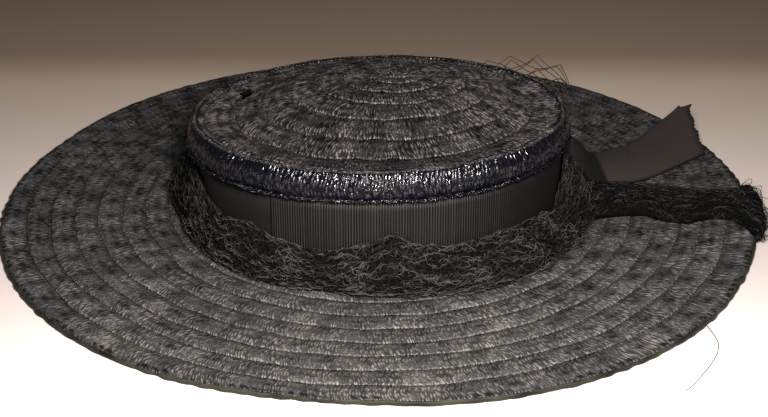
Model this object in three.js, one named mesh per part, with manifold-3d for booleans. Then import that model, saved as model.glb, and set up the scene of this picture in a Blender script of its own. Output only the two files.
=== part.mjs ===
// A wide black boater of sewn straw braid, lying brim down, with a grosgrain band,
// a gathered net round the foot of the crown and a loose end of the ribbon.
// Millimetres, +Z up, +X to the wearer's left as the hat faces -Y.
// Every piece is laid out round the axis of the crown. At the end the hat is moved
// so that the middle of its outer box stands over the origin, on the surface.
import * as THREE from 'three';
import { mergeVertices } from 'three/addons/utils/BufferGeometryUtils.js';
import Module from 'manifold-3d';

const wasm = await Module();
wasm.setup();

// Straw, the same in crown and brim
const strawWall = 2.0; // thickness of the sewn braid
const rowLap = 0.9; // how far the outer edge of a row stands over the next row
const rowEdge = 0.35; // run of the step down at the edge of a row
const gap = 0.3; // clearance between pieces that touch

// Brim
const brimRadius = 195;
const brimRow = 12; // width of a row that shows
const brimFlat = 24; // flat width outside the crown wall, which the hat rests on
const frontLift = 1.0; // height of the underside at the edge, at each side
const rightLift = 1.5;
const backLift = 2.0;
const leftLift = 0.6;
const edgeStray = 5; // most that the edge strays from a circle

// Crown
const seamRadius = 95.5; // edge of the tip, where it meets the glossy side row
const seamHeight = 52.9; // height of that edge at the sides
const frontRise = 8.2; // the edge is that much higher at the front and lower at the back
const rightRise = 2.2; // and higher at the right, lower at the left
const domeRise = 17.6; // middle of the tip above its edge
const tipRow = 12.7; // width of a row of the tip that shows
const tipDrift = 11; // the middle of the spiral lies that far to the right
const sideRowHeight = 15.5; // glossy row between the tip and the band
const sideRowBulge = 2.1; // its roundness beyond the edge of the tip
const sideRowLip = 2.8; // how far the edge of the tip stands out from the wall
const wornHoleOut = 73; // small hole worn through the left of the tip
const wornHoleTurn = 161.6; // degrees round the hat
const wornHoleLength = 7.4;
const wornHoleWidth = 5.2;

// Band and the loose end of the ribbon
const ribbonThick = 1.0;
const overlapThick = 0.7; // second layer at the fold
const overlapTurn = -123.2; // degrees, edge of the fold
const overlapArc = 40; // degrees covered by the second layer
const tailSweep = 80; // how far the loose end runs to the back
const tailCamber = 2.2; // hollow across the width of the loose end

// Net
const wrapWidth = 16; // usual width of the gathered net outside the band
const wrapPucker = 1.1; // depth of its gathers
const wrapPuckers = 19; // gathers round the crown
const wrapSway = 1.3; // how unevenly they are spaced
const bundleWidth = 30; // the bundle that lies over the brim
const bundleThick = 7;
const bundleRidge = 0.12; // depth of its folds, as a share of its thickness
const bundleRidges = 7;
const bundleDrop = 1.2; // lowest point over the surface, past the edge
const crestLength = 60;
const crestHeight = 47;
const crestCell = 11.5; // width of a mesh of the open net
const crestCellHeight = 10;
const crestStrand = 1.4;
const crestThick = 1.0;
const crestNear = 11.5; // distance from the inside of the gathered net, at the end near the back
const crestFar = 32; // and at the end near the right
const crestEnd = 33; // degrees round the hat, at the end near the right

// Fineness of the faceted pieces
const turns = 72; // steps round the hat
const wrapStep = 4.4; // degrees from one section of the gathered net to the next
const tailSteps = 18; // steps along the loose end of the ribbon
const undersideShares = [0.7, 0.35, 0]; // of the way from the flat to the edge of the brim
const bundleLanes = [-1, -0.75, -0.5, -0.25, 0, 0.25, 0.5, 0.75, 1]; // across the bundle

const wallRadius = seamRadius - sideRowLip;
const headRadius = wallRadius - strawWall;
const bandOuter = wallRadius + gap + ribbonThick;
const wrapInner = bandOuter + overlapThick + gap;
const liftRadius = headRadius + brimFlat;
const sideRowFoot = seamHeight - sideRowHeight;
const lastShare = 0.4; // the last row of the tip is left out if less than this share would show

// Outline of the brim seen from above: degrees round the hat (right 0, front -90),
// share of the most that it strays from a circle.
const outlineTable = [
  { turn: -180, stray: -0.3 },
  { turn: -155, stray: 0.1 },
  { turn: -135, stray: 0.2 },
  { turn: -117, stray: 0.0 },
  { turn: -105, stray: -0.45 },
  { turn: -93, stray: -0.35 },
  { turn: -79, stray: 0.5 },
  { turn: -62, stray: 0.8 },
  { turn: -45, stray: 0.35 },
  { turn: -28, stray: -0.2 },
  { turn: 0, stray: -0.3 },
  { turn: 14, stray: -0.42 },
  { turn: 40, stray: -0.6 },
  { turn: 65, stray: -0.8 },
  { turn: 120, stray: -0.95 },
  { turn: 141, stray: -0.78 },
  { turn: 158, stray: -1.0 },
  { turn: 170, stray: -0.45 },
  { turn: 180, stray: -0.3 },
];

// Relief of the tip: share of the radius, share of the rise above the edge.
const domeTable = [
  { out: 0.0, rise: 1.0 },
  { out: 0.14, rise: 1.0 },
  { out: 0.27, rise: 0.955 },
  { out: 0.4, rise: 0.85 },
  { out: 0.54, rise: 0.64 },
  { out: 0.67, rise: 0.29 },
  { out: 0.79, rise: -0.07 },
  { out: 0.93, rise: -0.09 },
  { out: 1.0, rise: 0.0 },
];

// Section of the glossy side row: share of the bulge, share of the row's height.
const sideRowTable = [
  { out: -0.1, down: -0.03 },
  { out: 0.45, down: 0.06 },
  { out: 0.95, down: 0.24 },
  { out: 1.0, down: 0.5 },
  { out: 0.75, down: 0.82 },
  { out: 0.35, down: 1.0 },
];

// Gathered net round the crown: degrees round the hat (right 0, front -90, left -180),
// share of its usual width, share of the height of the band there.
const wrapTable = [
  { turn: 1, width: 1.15, height: 0.45 },
  { turn: -6, width: 1.2, height: 0.84 },
  { turn: -13, width: 1.25, height: 0.6 },
  { turn: -25, width: 1.08, height: 0.28 },
  { turn: -40, width: 1.18, height: 0.4 },
  { turn: -60, width: 1.24, height: 0.41 },
  { turn: -70, width: 1.07, height: 0.39 },
  { turn: -80, width: 1.0, height: 0.46 },
  { turn: -86, width: 0.92, height: 0.62 },
  { turn: -94, width: 0.89, height: 0.48 },
  { turn: -102, width: 0.76, height: 0.38 },
  { turn: -112, width: 0.79, height: 0.38 },
  { turn: -122, width: 0.93, height: 0.42 },
  { turn: -130, width: 0.86, height: 0.54 },
  { turn: -142, width: 0.82, height: 0.45 },
  { turn: -152, width: 0.66, height: 0.57 },
  { turn: -164, width: 0.6, height: 0.78 },
  { turn: -178, width: 0.78, height: 0.82 },
  { turn: -194, width: 1.02, height: 0.76 },
  { turn: -230, width: 0.84, height: 0.72 },
  { turn: -270, width: 0.78, height: 0.74 },
  { turn: -310, width: 0.62, height: 0.7 },
  { turn: -338, width: 0.8, height: 0.5 },
];

// Section of the gathered net: share of its width, share of its height.
const wrapSection = [
  { out: 0.0, up: 0.0 },
  { out: 0.93, up: 0.0 },
  { out: 1.0, up: 0.14 },
  { out: 0.84, up: 0.42 },
  { out: 0.5, up: 0.72 },
  { out: 0.17, up: 1.0 },
  { out: 0.0, up: 1.0 },
];

// Bundle of net over the brim: share of the way from the wrap to the edge of the brim,
// middle and half width as shares of its width, share of its thickness.
const bundleTable = [
  { way: 0.0, side: -0.38, half: 0.58, thick: 1.2 },
  { way: 0.12, side: -0.36, half: 0.5, thick: 1.1 },
  { way: 0.3, side: -0.36, half: 0.46, thick: 1.0 },
  { way: 0.46, side: -0.5, half: 0.6, thick: 0.9 },
  { way: 0.58, side: -0.56, half: 0.6, thick: 0.85 },
  { way: 0.72, side: -0.56, half: 0.45, thick: 0.85 },
  { way: 0.86, side: -0.62, half: 0.42, thick: 0.9 },
  { way: 0.95, side: -0.68, half: 0.72, thick: 0.8 },
  { way: 1.0, side: -0.72, half: 0.95, thick: 0.66 },
];

// Its end past the edge: share of the way down, half width and thickness as above.
const bundleEndTable = [
  { down: 0.0, side: -0.74, half: 1.0, thick: 0.62 },
  { down: 0.45, side: -0.78, half: 1.02, thick: 0.72 },
  { down: 1.0, side: -0.84, half: 0.9, thick: 0.42 },
];

// The two edges of the loose ribbon end, each as a share of the way from the band to the
// edge of the brim, a share of the sweep to the back and a share of the band's height.
const ribbonFrontEdge = [
  { out: 0.0, side: 0.088, rise: 0.04 },
  { out: 0.082, side: 0.062, rise: 0.02 },
  { out: 0.162, side: 0.075, rise: 0.01 },
  { out: 0.228, side: 0.112, rise: 0.0 },
  { out: 0.276, side: 0.155, rise: 0.0 },
  { out: 0.332, side: 0.169, rise: 0.0 },
  { out: 0.407, side: 0.165, rise: 0.0 },
  { out: 0.505, side: 0.225, rise: 0.0 },
  { out: 0.652, side: 0.38, rise: 0.0 },
  { out: 0.868, side: 0.612, rise: 0.0 },
];
const ribbonBackEdge = [
  { out: 0.0, side: 0.125, rise: 0.95 },
  { out: 0.057, side: 0.062, rise: 0.86 },
  { out: 0.112, side: 0.175, rise: 0.66 },
  { out: 0.162, side: 0.325, rise: 0.36 },
  { out: 0.216, side: 0.45, rise: 0.185 },
  { out: 0.292, side: 0.512, rise: 0.165 },
  { out: 0.397, side: 0.57, rise: 0.18 },
  { out: 0.493, side: 0.62, rise: 0.26 },
  { out: 0.635, side: 0.81, rise: 0.38 },
  { out: 0.8, side: 1.0, rise: 0.53 },
];

// The torn end of the ribbon: how far each point across it stands out, as a share of the width.
const tornTable = [0.0, 0.03, -0.02, 0.015, -0.03, 0.02, -0.05, 0.06, -0.09];

// Height of the open net: share of its length, share of its height.
const crestTable = [
  { way: 0.0, tall: 0.92 },
  { way: 0.3, tall: 0.95 },
  { way: 0.6, tall: 1.0 },
  { way: 0.85, tall: 0.93 },
  { way: 1.0, tall: 0.76 },
];

const degrees = Math.PI / 180;

// Reads a column of a table between its rows, along another column that grows or falls.
// A soft reading rounds the corners at the rows.
function between(table, key, value, at, soft = false) {
  const grows = table[table.length - 1][key] > table[0][key] ? 1 : -1;
  let low = table[0];
  for (const high of table) {
    if ((high[key] - at) * grows >= 0) {
      const span = high[key] - low[key];
      const share = span === 0 ? 0 : (at - low[key]) / span;
      const eased = soft ? share * share * (3 - 2 * share) : share;
      return low[value] + (high[value] - low[value]) * eased;
    }
    low = high;
  }
  return low[value];
}

// Height of the brim's underside: level near the crown, then curving up towards the edge.
function undersideAt(radius, angle) {
  const reach = Math.max(0, (radius - liftRadius) / (brimRadius - liftRadius));
  const side = Math.cos(angle);
  const back = Math.sin(angle);
  const right = Math.max(0, side) ** 2 * rightLift;
  const left = Math.max(0, -side) ** 2 * leftLift;
  const rear = Math.max(0, back) ** 2 * backLift;
  const front = Math.max(0, -back) ** 2 * frontLift;
  return (right + left + rear + front) * reach ** 1.5;
}

// How far the brim strays from a circle, nothing at the crown and all of it at the edge.
function strayAt(radius, angle) {
  const reach = Math.max(0, (radius - liftRadius) / (brimRadius - liftRadius));
  const turn = Math.atan2(Math.sin(angle), Math.cos(angle)) / degrees;
  return edgeStray * reach * between(outlineTable, 'turn', 'stray', turn, true);
}

// Top of the brim where a loose piece lies on it, with the clearance.
function restAt(x, y) {
  const radius = Math.min(Math.hypot(x, y), brimRadius);
  return undersideAt(radius, Math.atan2(y, x)) + strawWall + rowLap + gap;
}

// The crown leans: what is level on a straight hat is higher at the front and right.
function leanAt(x, y) {
  return (frontRise * -y + rightRise * x) / seamRadius;
}

// Height of the tip above its edge.
function domeAt(radius) {
  return domeRise * between(domeTable, 'out', 'rise', radius / seamRadius);
}

// Top of the band at a place round the crown.
function bandTopAt(x, y) {
  return sideRowFoot - gap + leanAt(x, y);
}

// A mesh geometry from corner points and triangles.
function solid(points, faces) {
  const geometry = new THREE.BufferGeometry();
  const flat = points.flatMap((p) => [p.x, p.y, p.z]);
  geometry.setAttribute('position', new THREE.Float32BufferAttribute(flat, 3));
  geometry.setIndex(faces.flat());
  return geometry;
}

// Joins rings of points, listed along a section that runs anticlockwise seen from outside.
// A ring of one point closes an end on the axis; a looped section joins its last ring
// to its first; open rings are strips, whose two ends are closed with a fan.
function skin(rings, looped, openEnds) {
  const points = rings.flat();
  const starts = [];
  let count = 0;
  for (const ring of rings) {
    starts.push(count);
    count += ring.length;
  }
  const faces = [];
  const steps = looped ? rings.length : rings.length - 1;
  for (let k = 0; k < steps; k += 1) {
    const next = (k + 1) % rings.length;
    const here = rings[k].length;
    const there = rings[next].length;
    const around = Math.max(here, there);
    const last = openEnds ? around - 1 : around;
    for (let j = 0; j < last; j += 1) {
      const a = starts[k] + (j % here);
      const b = starts[k] + ((j + 1) % here);
      const c = starts[next] + ((j + 1) % there);
      const d = starts[next] + (j % there);
      if (a !== b) faces.push([a, b, d]);
      if (c !== d) faces.push([b, c, d]);
    }
  }
  if (openEnds) {
    const lastPoint = rings[0].length - 1;
    for (let k = 1; k < rings.length - 1; k += 1) {
      faces.push([starts[0], starts[k], starts[k + 1]]);
      faces.push([starts[0] + lastPoint, starts[k + 1] + lastPoint, starts[k] + lastPoint]);
    }
  }
  return solid(points, faces);
}

// Turns a closed geometry's faces to point outwards.
function facingOut(geometry) {
  const place = geometry.attributes.position;
  const index = geometry.index.array;
  const a = new THREE.Vector3();
  const b = new THREE.Vector3();
  const c = new THREE.Vector3();
  let volume = 0;
  for (let i = 0; i < index.length; i += 3) {
    a.fromBufferAttribute(place, index[i]);
    b.fromBufferAttribute(place, index[i + 1]);
    c.fromBufferAttribute(place, index[i + 2]);
    volume += a.dot(b.cross(c));
  }
  if (volume < 0) {
    for (let i = 0; i < index.length; i += 3) {
      const keep = index[i + 1];
      index[i + 1] = index[i + 2];
      index[i + 2] = keep;
    }
  }
  return geometry;
}

// A solid between two grids of points that share their layout, closed round their border.
function filled(lower, upper) {
  const rows = lower.length;
  const columns = lower[0].length;
  const points = [...lower.flat(), ...upper.flat()];
  const top = rows * columns;
  const at = (i, j) => i * columns + j;
  const faces = [];
  for (let i = 0; i < rows - 1; i += 1) {
    for (let j = 0; j < columns - 1; j += 1) {
      const a = at(i, j);
      const b = at(i, j + 1);
      const c = at(i + 1, j + 1);
      const d = at(i + 1, j);
      faces.push([a, b, c], [a, c, d]);
      faces.push([top + a, top + c, top + b], [top + a, top + d, top + c]);
    }
  }
  const border = [];
  for (let j = 0; j < columns - 1; j += 1) border.push(at(0, j));
  for (let i = 0; i < rows - 1; i += 1) border.push(at(i, columns - 1));
  for (let j = columns - 1; j > 0; j -= 1) border.push(at(rows - 1, j));
  for (let i = rows - 1; i > 0; i -= 1) border.push(at(i, 0));
  border.forEach((a, k) => {
    const b = border[(k + 1) % border.length];
    faces.push([b, a, top + a], [b, top + a, top + b]);
  });
  return facingOut(solid(points, faces));
}

// A thin sheet on a grid of points: half its thickness to each side of the grid.
function sheet(grid, thickness) {
  const rows = grid.length;
  const columns = grid[0].length;
  const shifted = (share) => grid.map((row, i) => row.map((point, j) => {
    const along = grid[Math.min(i + 1, rows - 1)][j].clone().sub(grid[Math.max(i - 1, 0)][j]);
    const over = row[Math.min(j + 1, columns - 1)].clone().sub(row[Math.max(j - 1, 0)]);
    const normal = along.cross(over).normalize();
    return point.clone().addScaledVector(normal, share * thickness);
  }));
  return filled(shifted(-0.5), shifted(0.5));
}

// A plate between two layers of points with the same faces, with a wall along each open edge.
function plate(near, far, quads) {
  const count = near.length;
  const faces = [];
  const open = new Map();
  for (const [a, b, c, d] of quads) {
    faces.push([a, b, c], [a, c, d]);
    faces.push([a + count, c + count, b + count], [a + count, d + count, c + count]);
    for (const [from, to] of [[a, b], [b, c], [c, d], [d, a]]) {
      if (!open.delete(`${to} ${from}`)) open.set(`${from} ${to}`, [from, to]);
    }
  }
  for (const [from, to] of open.values()) {
    faces.push([to, from, from + count], [to, from + count, to + count]);
  }
  return facingOut(solid([...near, ...far], faces));
}

// Cuts one closed geometry out of another.
function cut(body, tool) {
  const toManifold = (geometry) => {
    const bare = geometry.clone();
    bare.deleteAttribute('normal');
    bare.deleteAttribute('uv');
    const merged = mergeVertices(bare, 1e-4);
    return new wasm.Manifold(new wasm.Mesh({
      numProp: 3,
      vertProperties: new Float32Array(merged.attributes.position.array),
      triVerts: new Uint32Array(merged.index.array),
    }));
  };
  const result = toManifold(body).subtract(toManifold(tool)).getMesh();
  const geometry = new THREE.BufferGeometry();
  geometry.setAttribute('position', new THREE.Float32BufferAttribute(result.vertProperties, 3));
  geometry.setIndex(new THREE.Uint32BufferAttribute(result.triVerts, 1));
  return geometry;
}

// A ring of points round the axis at a given radius, with its height from a function.
function ringAt(radius, heightAt, shift = 0) {
  const ring = [];
  for (let k = 0; k < turns; k += 1) {
    const angle = (k / turns) * 2 * Math.PI;
    const x = shift + radius * Math.cos(angle);
    const y = radius * Math.sin(angle);
    ring.push(new THREE.Vector3(x, y, heightAt(x, y, angle)));
  }
  return ring;
}

// Straw crown: domed tip in lapped rows, glossy rounded side row, plain wall, open below.
function makeCrown() {
  const rings = [];
  const onTip = (radius, above) => {
    const shift = tipDrift * (1 - radius / seamRadius);
    const height = seamHeight + domeAt(radius) + above;
    if (radius === 0) return [new THREE.Vector3(shift, 0, height + leanAt(shift, 0))];
    return ringAt(radius, (x, y) => height + leanAt(x, y), shift);
  };
  rings.push(onTip(0, 0));
  const innerRadii = [];
  for (let radius = tipRow; radius < seamRadius - lastShare * tipRow; radius += tipRow) {
    rings.push(onTip(radius, rowLap));
    rings.push(onTip(radius + rowEdge, 0));
    innerRadii.push(radius);
  }
  for (const { out, down } of sideRowTable) {
    const height = seamHeight - down * sideRowHeight;
    rings.push(ringAt(seamRadius + out * sideRowBulge, (x, y) => height + leanAt(x, y)));
  }
  const foot = strawWall + gap;
  rings.push(ringAt(wallRadius, (x, y) => sideRowFoot + leanAt(x, y)));
  rings.push(ringAt(wallRadius, () => foot));
  rings.push(ringAt(headRadius, () => foot));
  rings.push(ringAt(headRadius, (x, y) => seamHeight - 2 * strawWall + leanAt(x, y)));
  for (const radius of innerRadii.reverse()) rings.push(onTip(radius, -strawWall));
  rings.push(onTip(0, -strawWall));

  const lens = new THREE.Shape();
  lens.moveTo(-wornHoleLength / 2, 0);
  lens.quadraticCurveTo(0, wornHoleWidth, wornHoleLength / 2, 0);
  lens.quadraticCurveTo(0, -wornHoleWidth, -wornHoleLength / 2, 0);
  const tall = seamHeight + domeRise + frontRise;
  const punch = new THREE.ExtrudeGeometry(lens, { depth: tall, bevelEnabled: false, curveSegments: 5 });
  const holeAngle = wornHoleTurn * degrees;
  punch.translate(wornHoleOut * Math.cos(holeAngle), wornHoleOut * Math.sin(holeAngle), sideRowFoot);
  return cut(facingOut(skin(rings, false, false)), punch);
}

// Straw brim: lapped rows round the head hole, level by the crown and lifted at the edge.
function makeBrim() {
  const at = (radius, above) => {
    const heightAt = (x, y, angle) => undersideAt(radius, angle) + above;
    const ring = ringAt(radius, heightAt);
    ring.forEach((point, k) => {
      const angle = (k / turns) * 2 * Math.PI;
      const stray = strayAt(radius, angle);
      point.x += stray * Math.cos(angle);
      point.y += stray * Math.sin(angle);
    });
    return ring;
  };
  const rings = [at(headRadius, 0), at(headRadius, strawWall)];
  const seams = [];
  for (let radius = brimRadius - brimRow; radius > wallRadius + brimRow; radius -= brimRow) {
    seams.unshift(radius);
  }
  rings.push(at(seams[0] - brimRow + rowEdge, strawWall));
  for (const radius of seams) {
    rings.push(at(radius, strawWall + rowLap));
    rings.push(at(radius + rowEdge, strawWall));
  }
  rings.push(at(brimRadius - rowEdge, strawWall + rowLap));
  rings.push(at(brimRadius, 0.5 * strawWall));
  rings.push(at(brimRadius - rowEdge, 0));
  for (const share of undersideShares) {
    rings.push(at(liftRadius + share * (brimRadius - liftRadius), 0));
  }
  return facingOut(skin(rings, true, false));
}

// Ribbon round the crown wall, tucked under the side row, with a second layer at its fold.
function makeBand() {
  const angles = [];
  const foldStep = 0.4;
  for (let k = 0; k < turns; k += 1) angles.push((k / turns) * 360 - 180);
  angles.push(overlapTurn, overlapTurn + foldStep);
  angles.sort((a, b) => a - b);
  const thickAt = (turn) => {
    const into = overlapTurn - turn;
    if (into < 0 || into > overlapArc) return ribbonThick;
    return ribbonThick + overlapThick * (1 - (into / overlapArc) ** 3);
  };
  const inner = wallRadius + gap;
  const ring = (thick, heightAt) => angles.map((turn) => {
    const radius = inner + (thick ? thickAt(turn) : 0);
    const x = radius * Math.cos(turn * degrees);
    const y = radius * Math.sin(turn * degrees);
    return new THREE.Vector3(x, y, heightAt(x, y));
  });
  const foot = () => strawWall + gap;
  const rings = [ring(false, foot), ring(true, foot), ring(true, bandTopAt), ring(false, bandTopAt)];
  return facingOut(skin(rings, true, false));
}

// Outer radius of the gathered net at a place round the crown.
function wrapOuterAt(turn) {
  const angle = turn * degrees;
  const pucker = wrapPucker * Math.sin(wrapPuckers * angle + wrapSway * Math.sin(5 * angle));
  return wrapInner + wrapWidth * between(wrapTable, 'turn', 'width', turn) + pucker;
}

// Net gathered round the foot of the crown, open at the right where its ends come out.
function makeNetWrap() {
  const first = wrapTable[0].turn;
  const last = wrapTable[wrapTable.length - 1].turn;
  const steps = Math.round((first - last) / wrapStep);
  const foot = strawWall + rowLap + gap;
  const rings = wrapSection.map(({ out, up }) => {
    const strip = [];
    for (let k = 0; k <= steps; k += 1) {
      const turn = first + ((last - first) * k) / steps;
      const radius = wrapInner + out * (wrapOuterAt(turn) - wrapInner);
      const x = radius * Math.cos(turn * degrees);
      const y = radius * Math.sin(turn * degrees);
      const pucker = wrapPucker * Math.sin(wrapPuckers * wrapSway * turn * degrees) * up;
      const tall = (bandTopAt(x, y) - foot) * between(wrapTable, 'turn', 'height', turn) + pucker;
      strip.push(new THREE.Vector3(x, y, foot + up * tall));
    }
    return strip;
  });
  return facingOut(skin(rings, true, true));
}

// Bundle of the net that lies over the right of the brim and hangs past its edge.
function makeNetTail() {
  const lower = [];
  const upper = [];
  const ridge = (lane, row) => 1 + bundleRidge * Math.sin(bundleRidges * lane + 2 * row);
  const edgeAt = (y) => {
    const angle = Math.asin(y / brimRadius);
    return Math.sqrt((brimRadius + strayAt(brimRadius, angle)) ** 2 - y * y);
  };
  bundleTable.forEach(({ way, side, half, thick }, row) => {
    const under = [];
    const over = [];
    for (const lane of bundleLanes) {
      const y = bundleWidth * (side + half * lane);
      const turn = Math.atan2(y, wrapInner + wrapWidth) / degrees;
      const wrapEdge = wrapOuterAt(Math.min(turn, wrapTable[0].turn)) + wrapPucker;
      const start = Math.cos(turn * degrees) * wrapEdge;
      const x = start + way * (edgeAt(y) - start);
      const full = bundleThick * thick * (1 - lane ** 4) * ridge(lane, row) + gap;
      under.push(new THREE.Vector3(x, y, restAt(x, y)));
      over.push(new THREE.Vector3(x, y, restAt(x, y) + full));
    }
    lower.push(under);
    upper.push(over);
  });
  bundleEndTable.forEach(({ down, side, half, thick }, row) => {
    const under = [];
    const over = [];
    for (const lane of bundleLanes) {
      const y = bundleWidth * (side + half * lane);
      const x = edgeAt(y) + gap;
      const z = restAt(x, y) * (1 - down) + bundleDrop * down;
      const full = bundleThick * thick * (1 - lane ** 4) * ridge(lane, row) + gap;
      const bow = full * Math.cos((1 - down) * 0.25 * Math.PI);
      const lift = full * Math.sin((1 - down) * 0.25 * Math.PI);
      under.push(new THREE.Vector3(x, y, z));
      over.push(new THREE.Vector3(x + bow, y, z + lift));
    }
    lower.push(under);
    upper.push(over);
  });
  return filled(lower, upper);
}

// Loose end of the ribbon: it stands on edge by the band, then leans back and lies open,
// its front edge on the brim and its torn end over the edge of the brim.
function makeRibbonTail() {
  const start = bandOuter + gap + ribbonThick / 2;
  const tall = bandTopAt(wallRadius, 0) - strawWall - rowLap - 2 * gap;
  const toPoint = ({ out, side, rise }) => {
    const x = start + out * (brimRadius - start);
    const y = side * tailSweep;
    return new THREE.Vector3(x, y, restAt(x, y) + ribbonThick * 0.5 + rise * tall);
  };
  const front = new THREE.CatmullRomCurve3(ribbonFrontEdge.map(toPoint), false, 'centripetal');
  const back = new THREE.CatmullRomCurve3(ribbonBackEdge.map(toPoint), false, 'centripetal');
  const across = tornTable.length;
  const grid = [];
  for (let k = 0; k <= tailSteps; k += 1) {
    const from = front.getPoint(k / tailSteps);
    const to = back.getPoint(k / tailSteps);
    const along = front.getTangent(k / tailSteps).add(back.getTangent(k / tailSteps)).normalize();
    const hollow = new THREE.Vector3().subVectors(to, from).cross(along).normalize();
    const row = [];
    for (let j = 0; j < across; j += 1) {
      const share = j / (across - 1);
      const point = from.clone().lerp(to, share);
      const arch = 4 * share * (1 - share) * Math.sin(Math.PI * k / tailSteps);
      point.addScaledVector(hollow, -tailCamber * arch);
      if (k === tailSteps) point.addScaledVector(along, tornTable[j] * tall);
      row.push(point);
    }
    grid.push(row);
  }
  return sheet(grid, ribbonThick);
}

// Open net standing behind the crown: a lattice of diamonds cut through a thin strip,
// which is bent to its line. Its knots are numbered in half meshes along and up.
function makeNetCrest() {
  const columns = Math.round(crestLength / crestCell);
  const rows = Math.round(crestHeight / crestCellHeight);
  const halfWide = crestLength / columns / 2;
  const halfTall = crestHeight / rows / 2;
  const halfMesh = (halfWide * halfTall) / Math.hypot(halfWide, halfTall);
  const opening = 1 - crestStrand / 2 / halfMesh;
  const near = wrapInner + crestNear;
  const far = wrapInner + crestFar;
  const arc = Math.sqrt(crestLength ** 2 - (far - near) ** 2) / ((near + far) / 2);
  const placeAt = (i, j, out) => {
    const share = i / (2 * columns);
    const angle = crestEnd * degrees + arc * (1 - share);
    const radius = near + (far - near) * share + out;
    const x = radius * Math.cos(angle);
    const y = radius * Math.sin(angle);
    const up = between(crestTable, 'way', 'tall', share) * halfTall * j;
    return new THREE.Vector3(x, y, restAt(x, y) + up);
  };
  const knots = [];
  const numbers = new Map();
  const knot = (i, j) => {
    const key = `${i} ${j}`;
    if (!numbers.has(key)) {
      numbers.set(key, knots.length);
      knots.push([i, j]);
    }
    return numbers.get(key);
  };
  const quads = [];
  for (let i = 1; i < 2 * columns; i += 1) {
    for (let j = 1; j < 2 * rows; j += 1) {
      if ((i + j) % 2 === 1) continue;
      const outer = [[i + 1, j], [i, j + 1], [i - 1, j], [i, j - 1]].map(([a, b]) => knot(a, b));
      const inner = [[opening, 0], [0, opening], [-opening, 0], [0, -opening]];
      const hole = inner.map(([a, b]) => knot(i + a, j + b));
      for (let k = 0; k < 4; k += 1) {
        const next = (k + 1) % 4;
        quads.push([outer[k], outer[next], hole[next], hole[k]]);
      }
    }
  }
  const layer = (out) => knots.map(([i, j]) => placeAt(i, j, out));
  return plate(layer(0), layer(crestThick), quads);
}

// Names a piece and gives it its colour.
function piece(name, geometry, colour, roughness) {
  geometry.computeVertexNormals();
  const material = new THREE.MeshStandardMaterial({ color: colour, roughness, metalness: 0 });
  const mesh = new THREE.Mesh(geometry, material);
  mesh.name = name;
  return mesh;
}

const hat = new THREE.Group();
hat.add(piece('crown', makeCrown(), 0x2a2830, 0.45));
hat.add(piece('brim', makeBrim(), 0x2e2c2b, 0.5));
hat.add(piece('band', makeBand(), 0x1d1c1b, 0.8));
hat.add(piece('net_wrap', makeNetWrap(), 0x141413, 0.9));
hat.add(piece('net_tail', makeNetTail(), 0x141413, 0.9));
hat.add(piece('net_crest', makeNetCrest(), 0x201e1c, 0.9));
hat.add(piece('ribbon_tail', makeRibbonTail(), 0x2b2826, 0.8));

const box = new THREE.Box3().setFromObject(hat);
const middle = box.getCenter(new THREE.Vector3());
hat.position.set(-middle.x, -middle.y, -box.min.z);

export default hat;
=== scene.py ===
# Boater hat of black sewn straw braid, with a ribbon band and a gathered net.
import bpy
import numpy as np
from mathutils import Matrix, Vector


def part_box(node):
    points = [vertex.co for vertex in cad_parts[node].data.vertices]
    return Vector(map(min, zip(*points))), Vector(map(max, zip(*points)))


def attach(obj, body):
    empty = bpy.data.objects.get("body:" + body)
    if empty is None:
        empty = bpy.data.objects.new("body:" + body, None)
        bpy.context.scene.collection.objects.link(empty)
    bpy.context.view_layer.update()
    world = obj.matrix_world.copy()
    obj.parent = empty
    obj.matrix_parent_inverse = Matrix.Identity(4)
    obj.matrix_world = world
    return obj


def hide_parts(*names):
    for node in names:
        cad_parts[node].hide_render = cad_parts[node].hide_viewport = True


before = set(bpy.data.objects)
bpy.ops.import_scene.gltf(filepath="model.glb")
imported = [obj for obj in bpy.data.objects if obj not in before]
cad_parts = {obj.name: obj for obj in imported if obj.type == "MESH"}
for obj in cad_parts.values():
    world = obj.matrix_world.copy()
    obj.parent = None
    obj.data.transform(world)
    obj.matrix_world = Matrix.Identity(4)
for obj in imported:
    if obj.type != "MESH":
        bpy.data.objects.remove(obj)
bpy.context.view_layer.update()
crownLow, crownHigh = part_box("crown")
# The axis of the crown stands here in the part's frame. All shapes below are worked
# out in millimetres round that axis: x to the right of the photo, y away, z up.
axisPoint = np.array([(crownLow[0] + crownHigh[0]) / 2, (crownLow[1] + crownHigh[1]) / 2, 0.0])
print("frame loaded")

# Small tools


def linear(hexText):
    # sRGB hex to the linear colour that a shader takes
    parts = [int(hexText[k:k + 2], 16) / 255 for k in (1, 3, 5)]
    return [p / 12.92 if p <= 0.04045 else ((p + 0.055) / 1.055) ** 2.4 for p in parts] + [1.0]


def addNode(tree, name, kind, settings, inputs, stops=()):
    # One shader node called name, with its settings. An input is a value, or text such as
    # "row.Y" for the output Y of the node called row. Stops are a colour ramp's places and
    # colours, from its first to its last.
    node = tree.nodes.new("ShaderNode" + kind)
    node.name = name
    for key, value in settings.items():
        setattr(node, key, value)
    for key, value in inputs.items():
        if isinstance(value, str):
            source, output = value.split(".")
            tree.links.new(tree.nodes[source].outputs[output], node.inputs[key])
        else:
            node.inputs[key].default_value = value
    if stops:
        marks = node.color_ramp.elements
        marks[0].position, marks[-1].position = stops[0][0], stops[-1][0]
        for spot, _ in stops[1:-1]:
            marks.new(spot)
        for mark, (_, colour) in zip(marks, stops):
            mark.color = linear(colour)


def newMaterial(name, steps):
    # a material from rows of addNode; the last row's shader is called surface
    material = bpy.data.materials.new(name)
    material.use_nodes = True
    tree = material.node_tree
    tree.nodes.clear()
    for step in steps:
        addNode(tree, *step)
    addNode(tree, "output", "OutputMaterial", {}, {"Surface": "surface.BSDF"})
    return material


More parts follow.
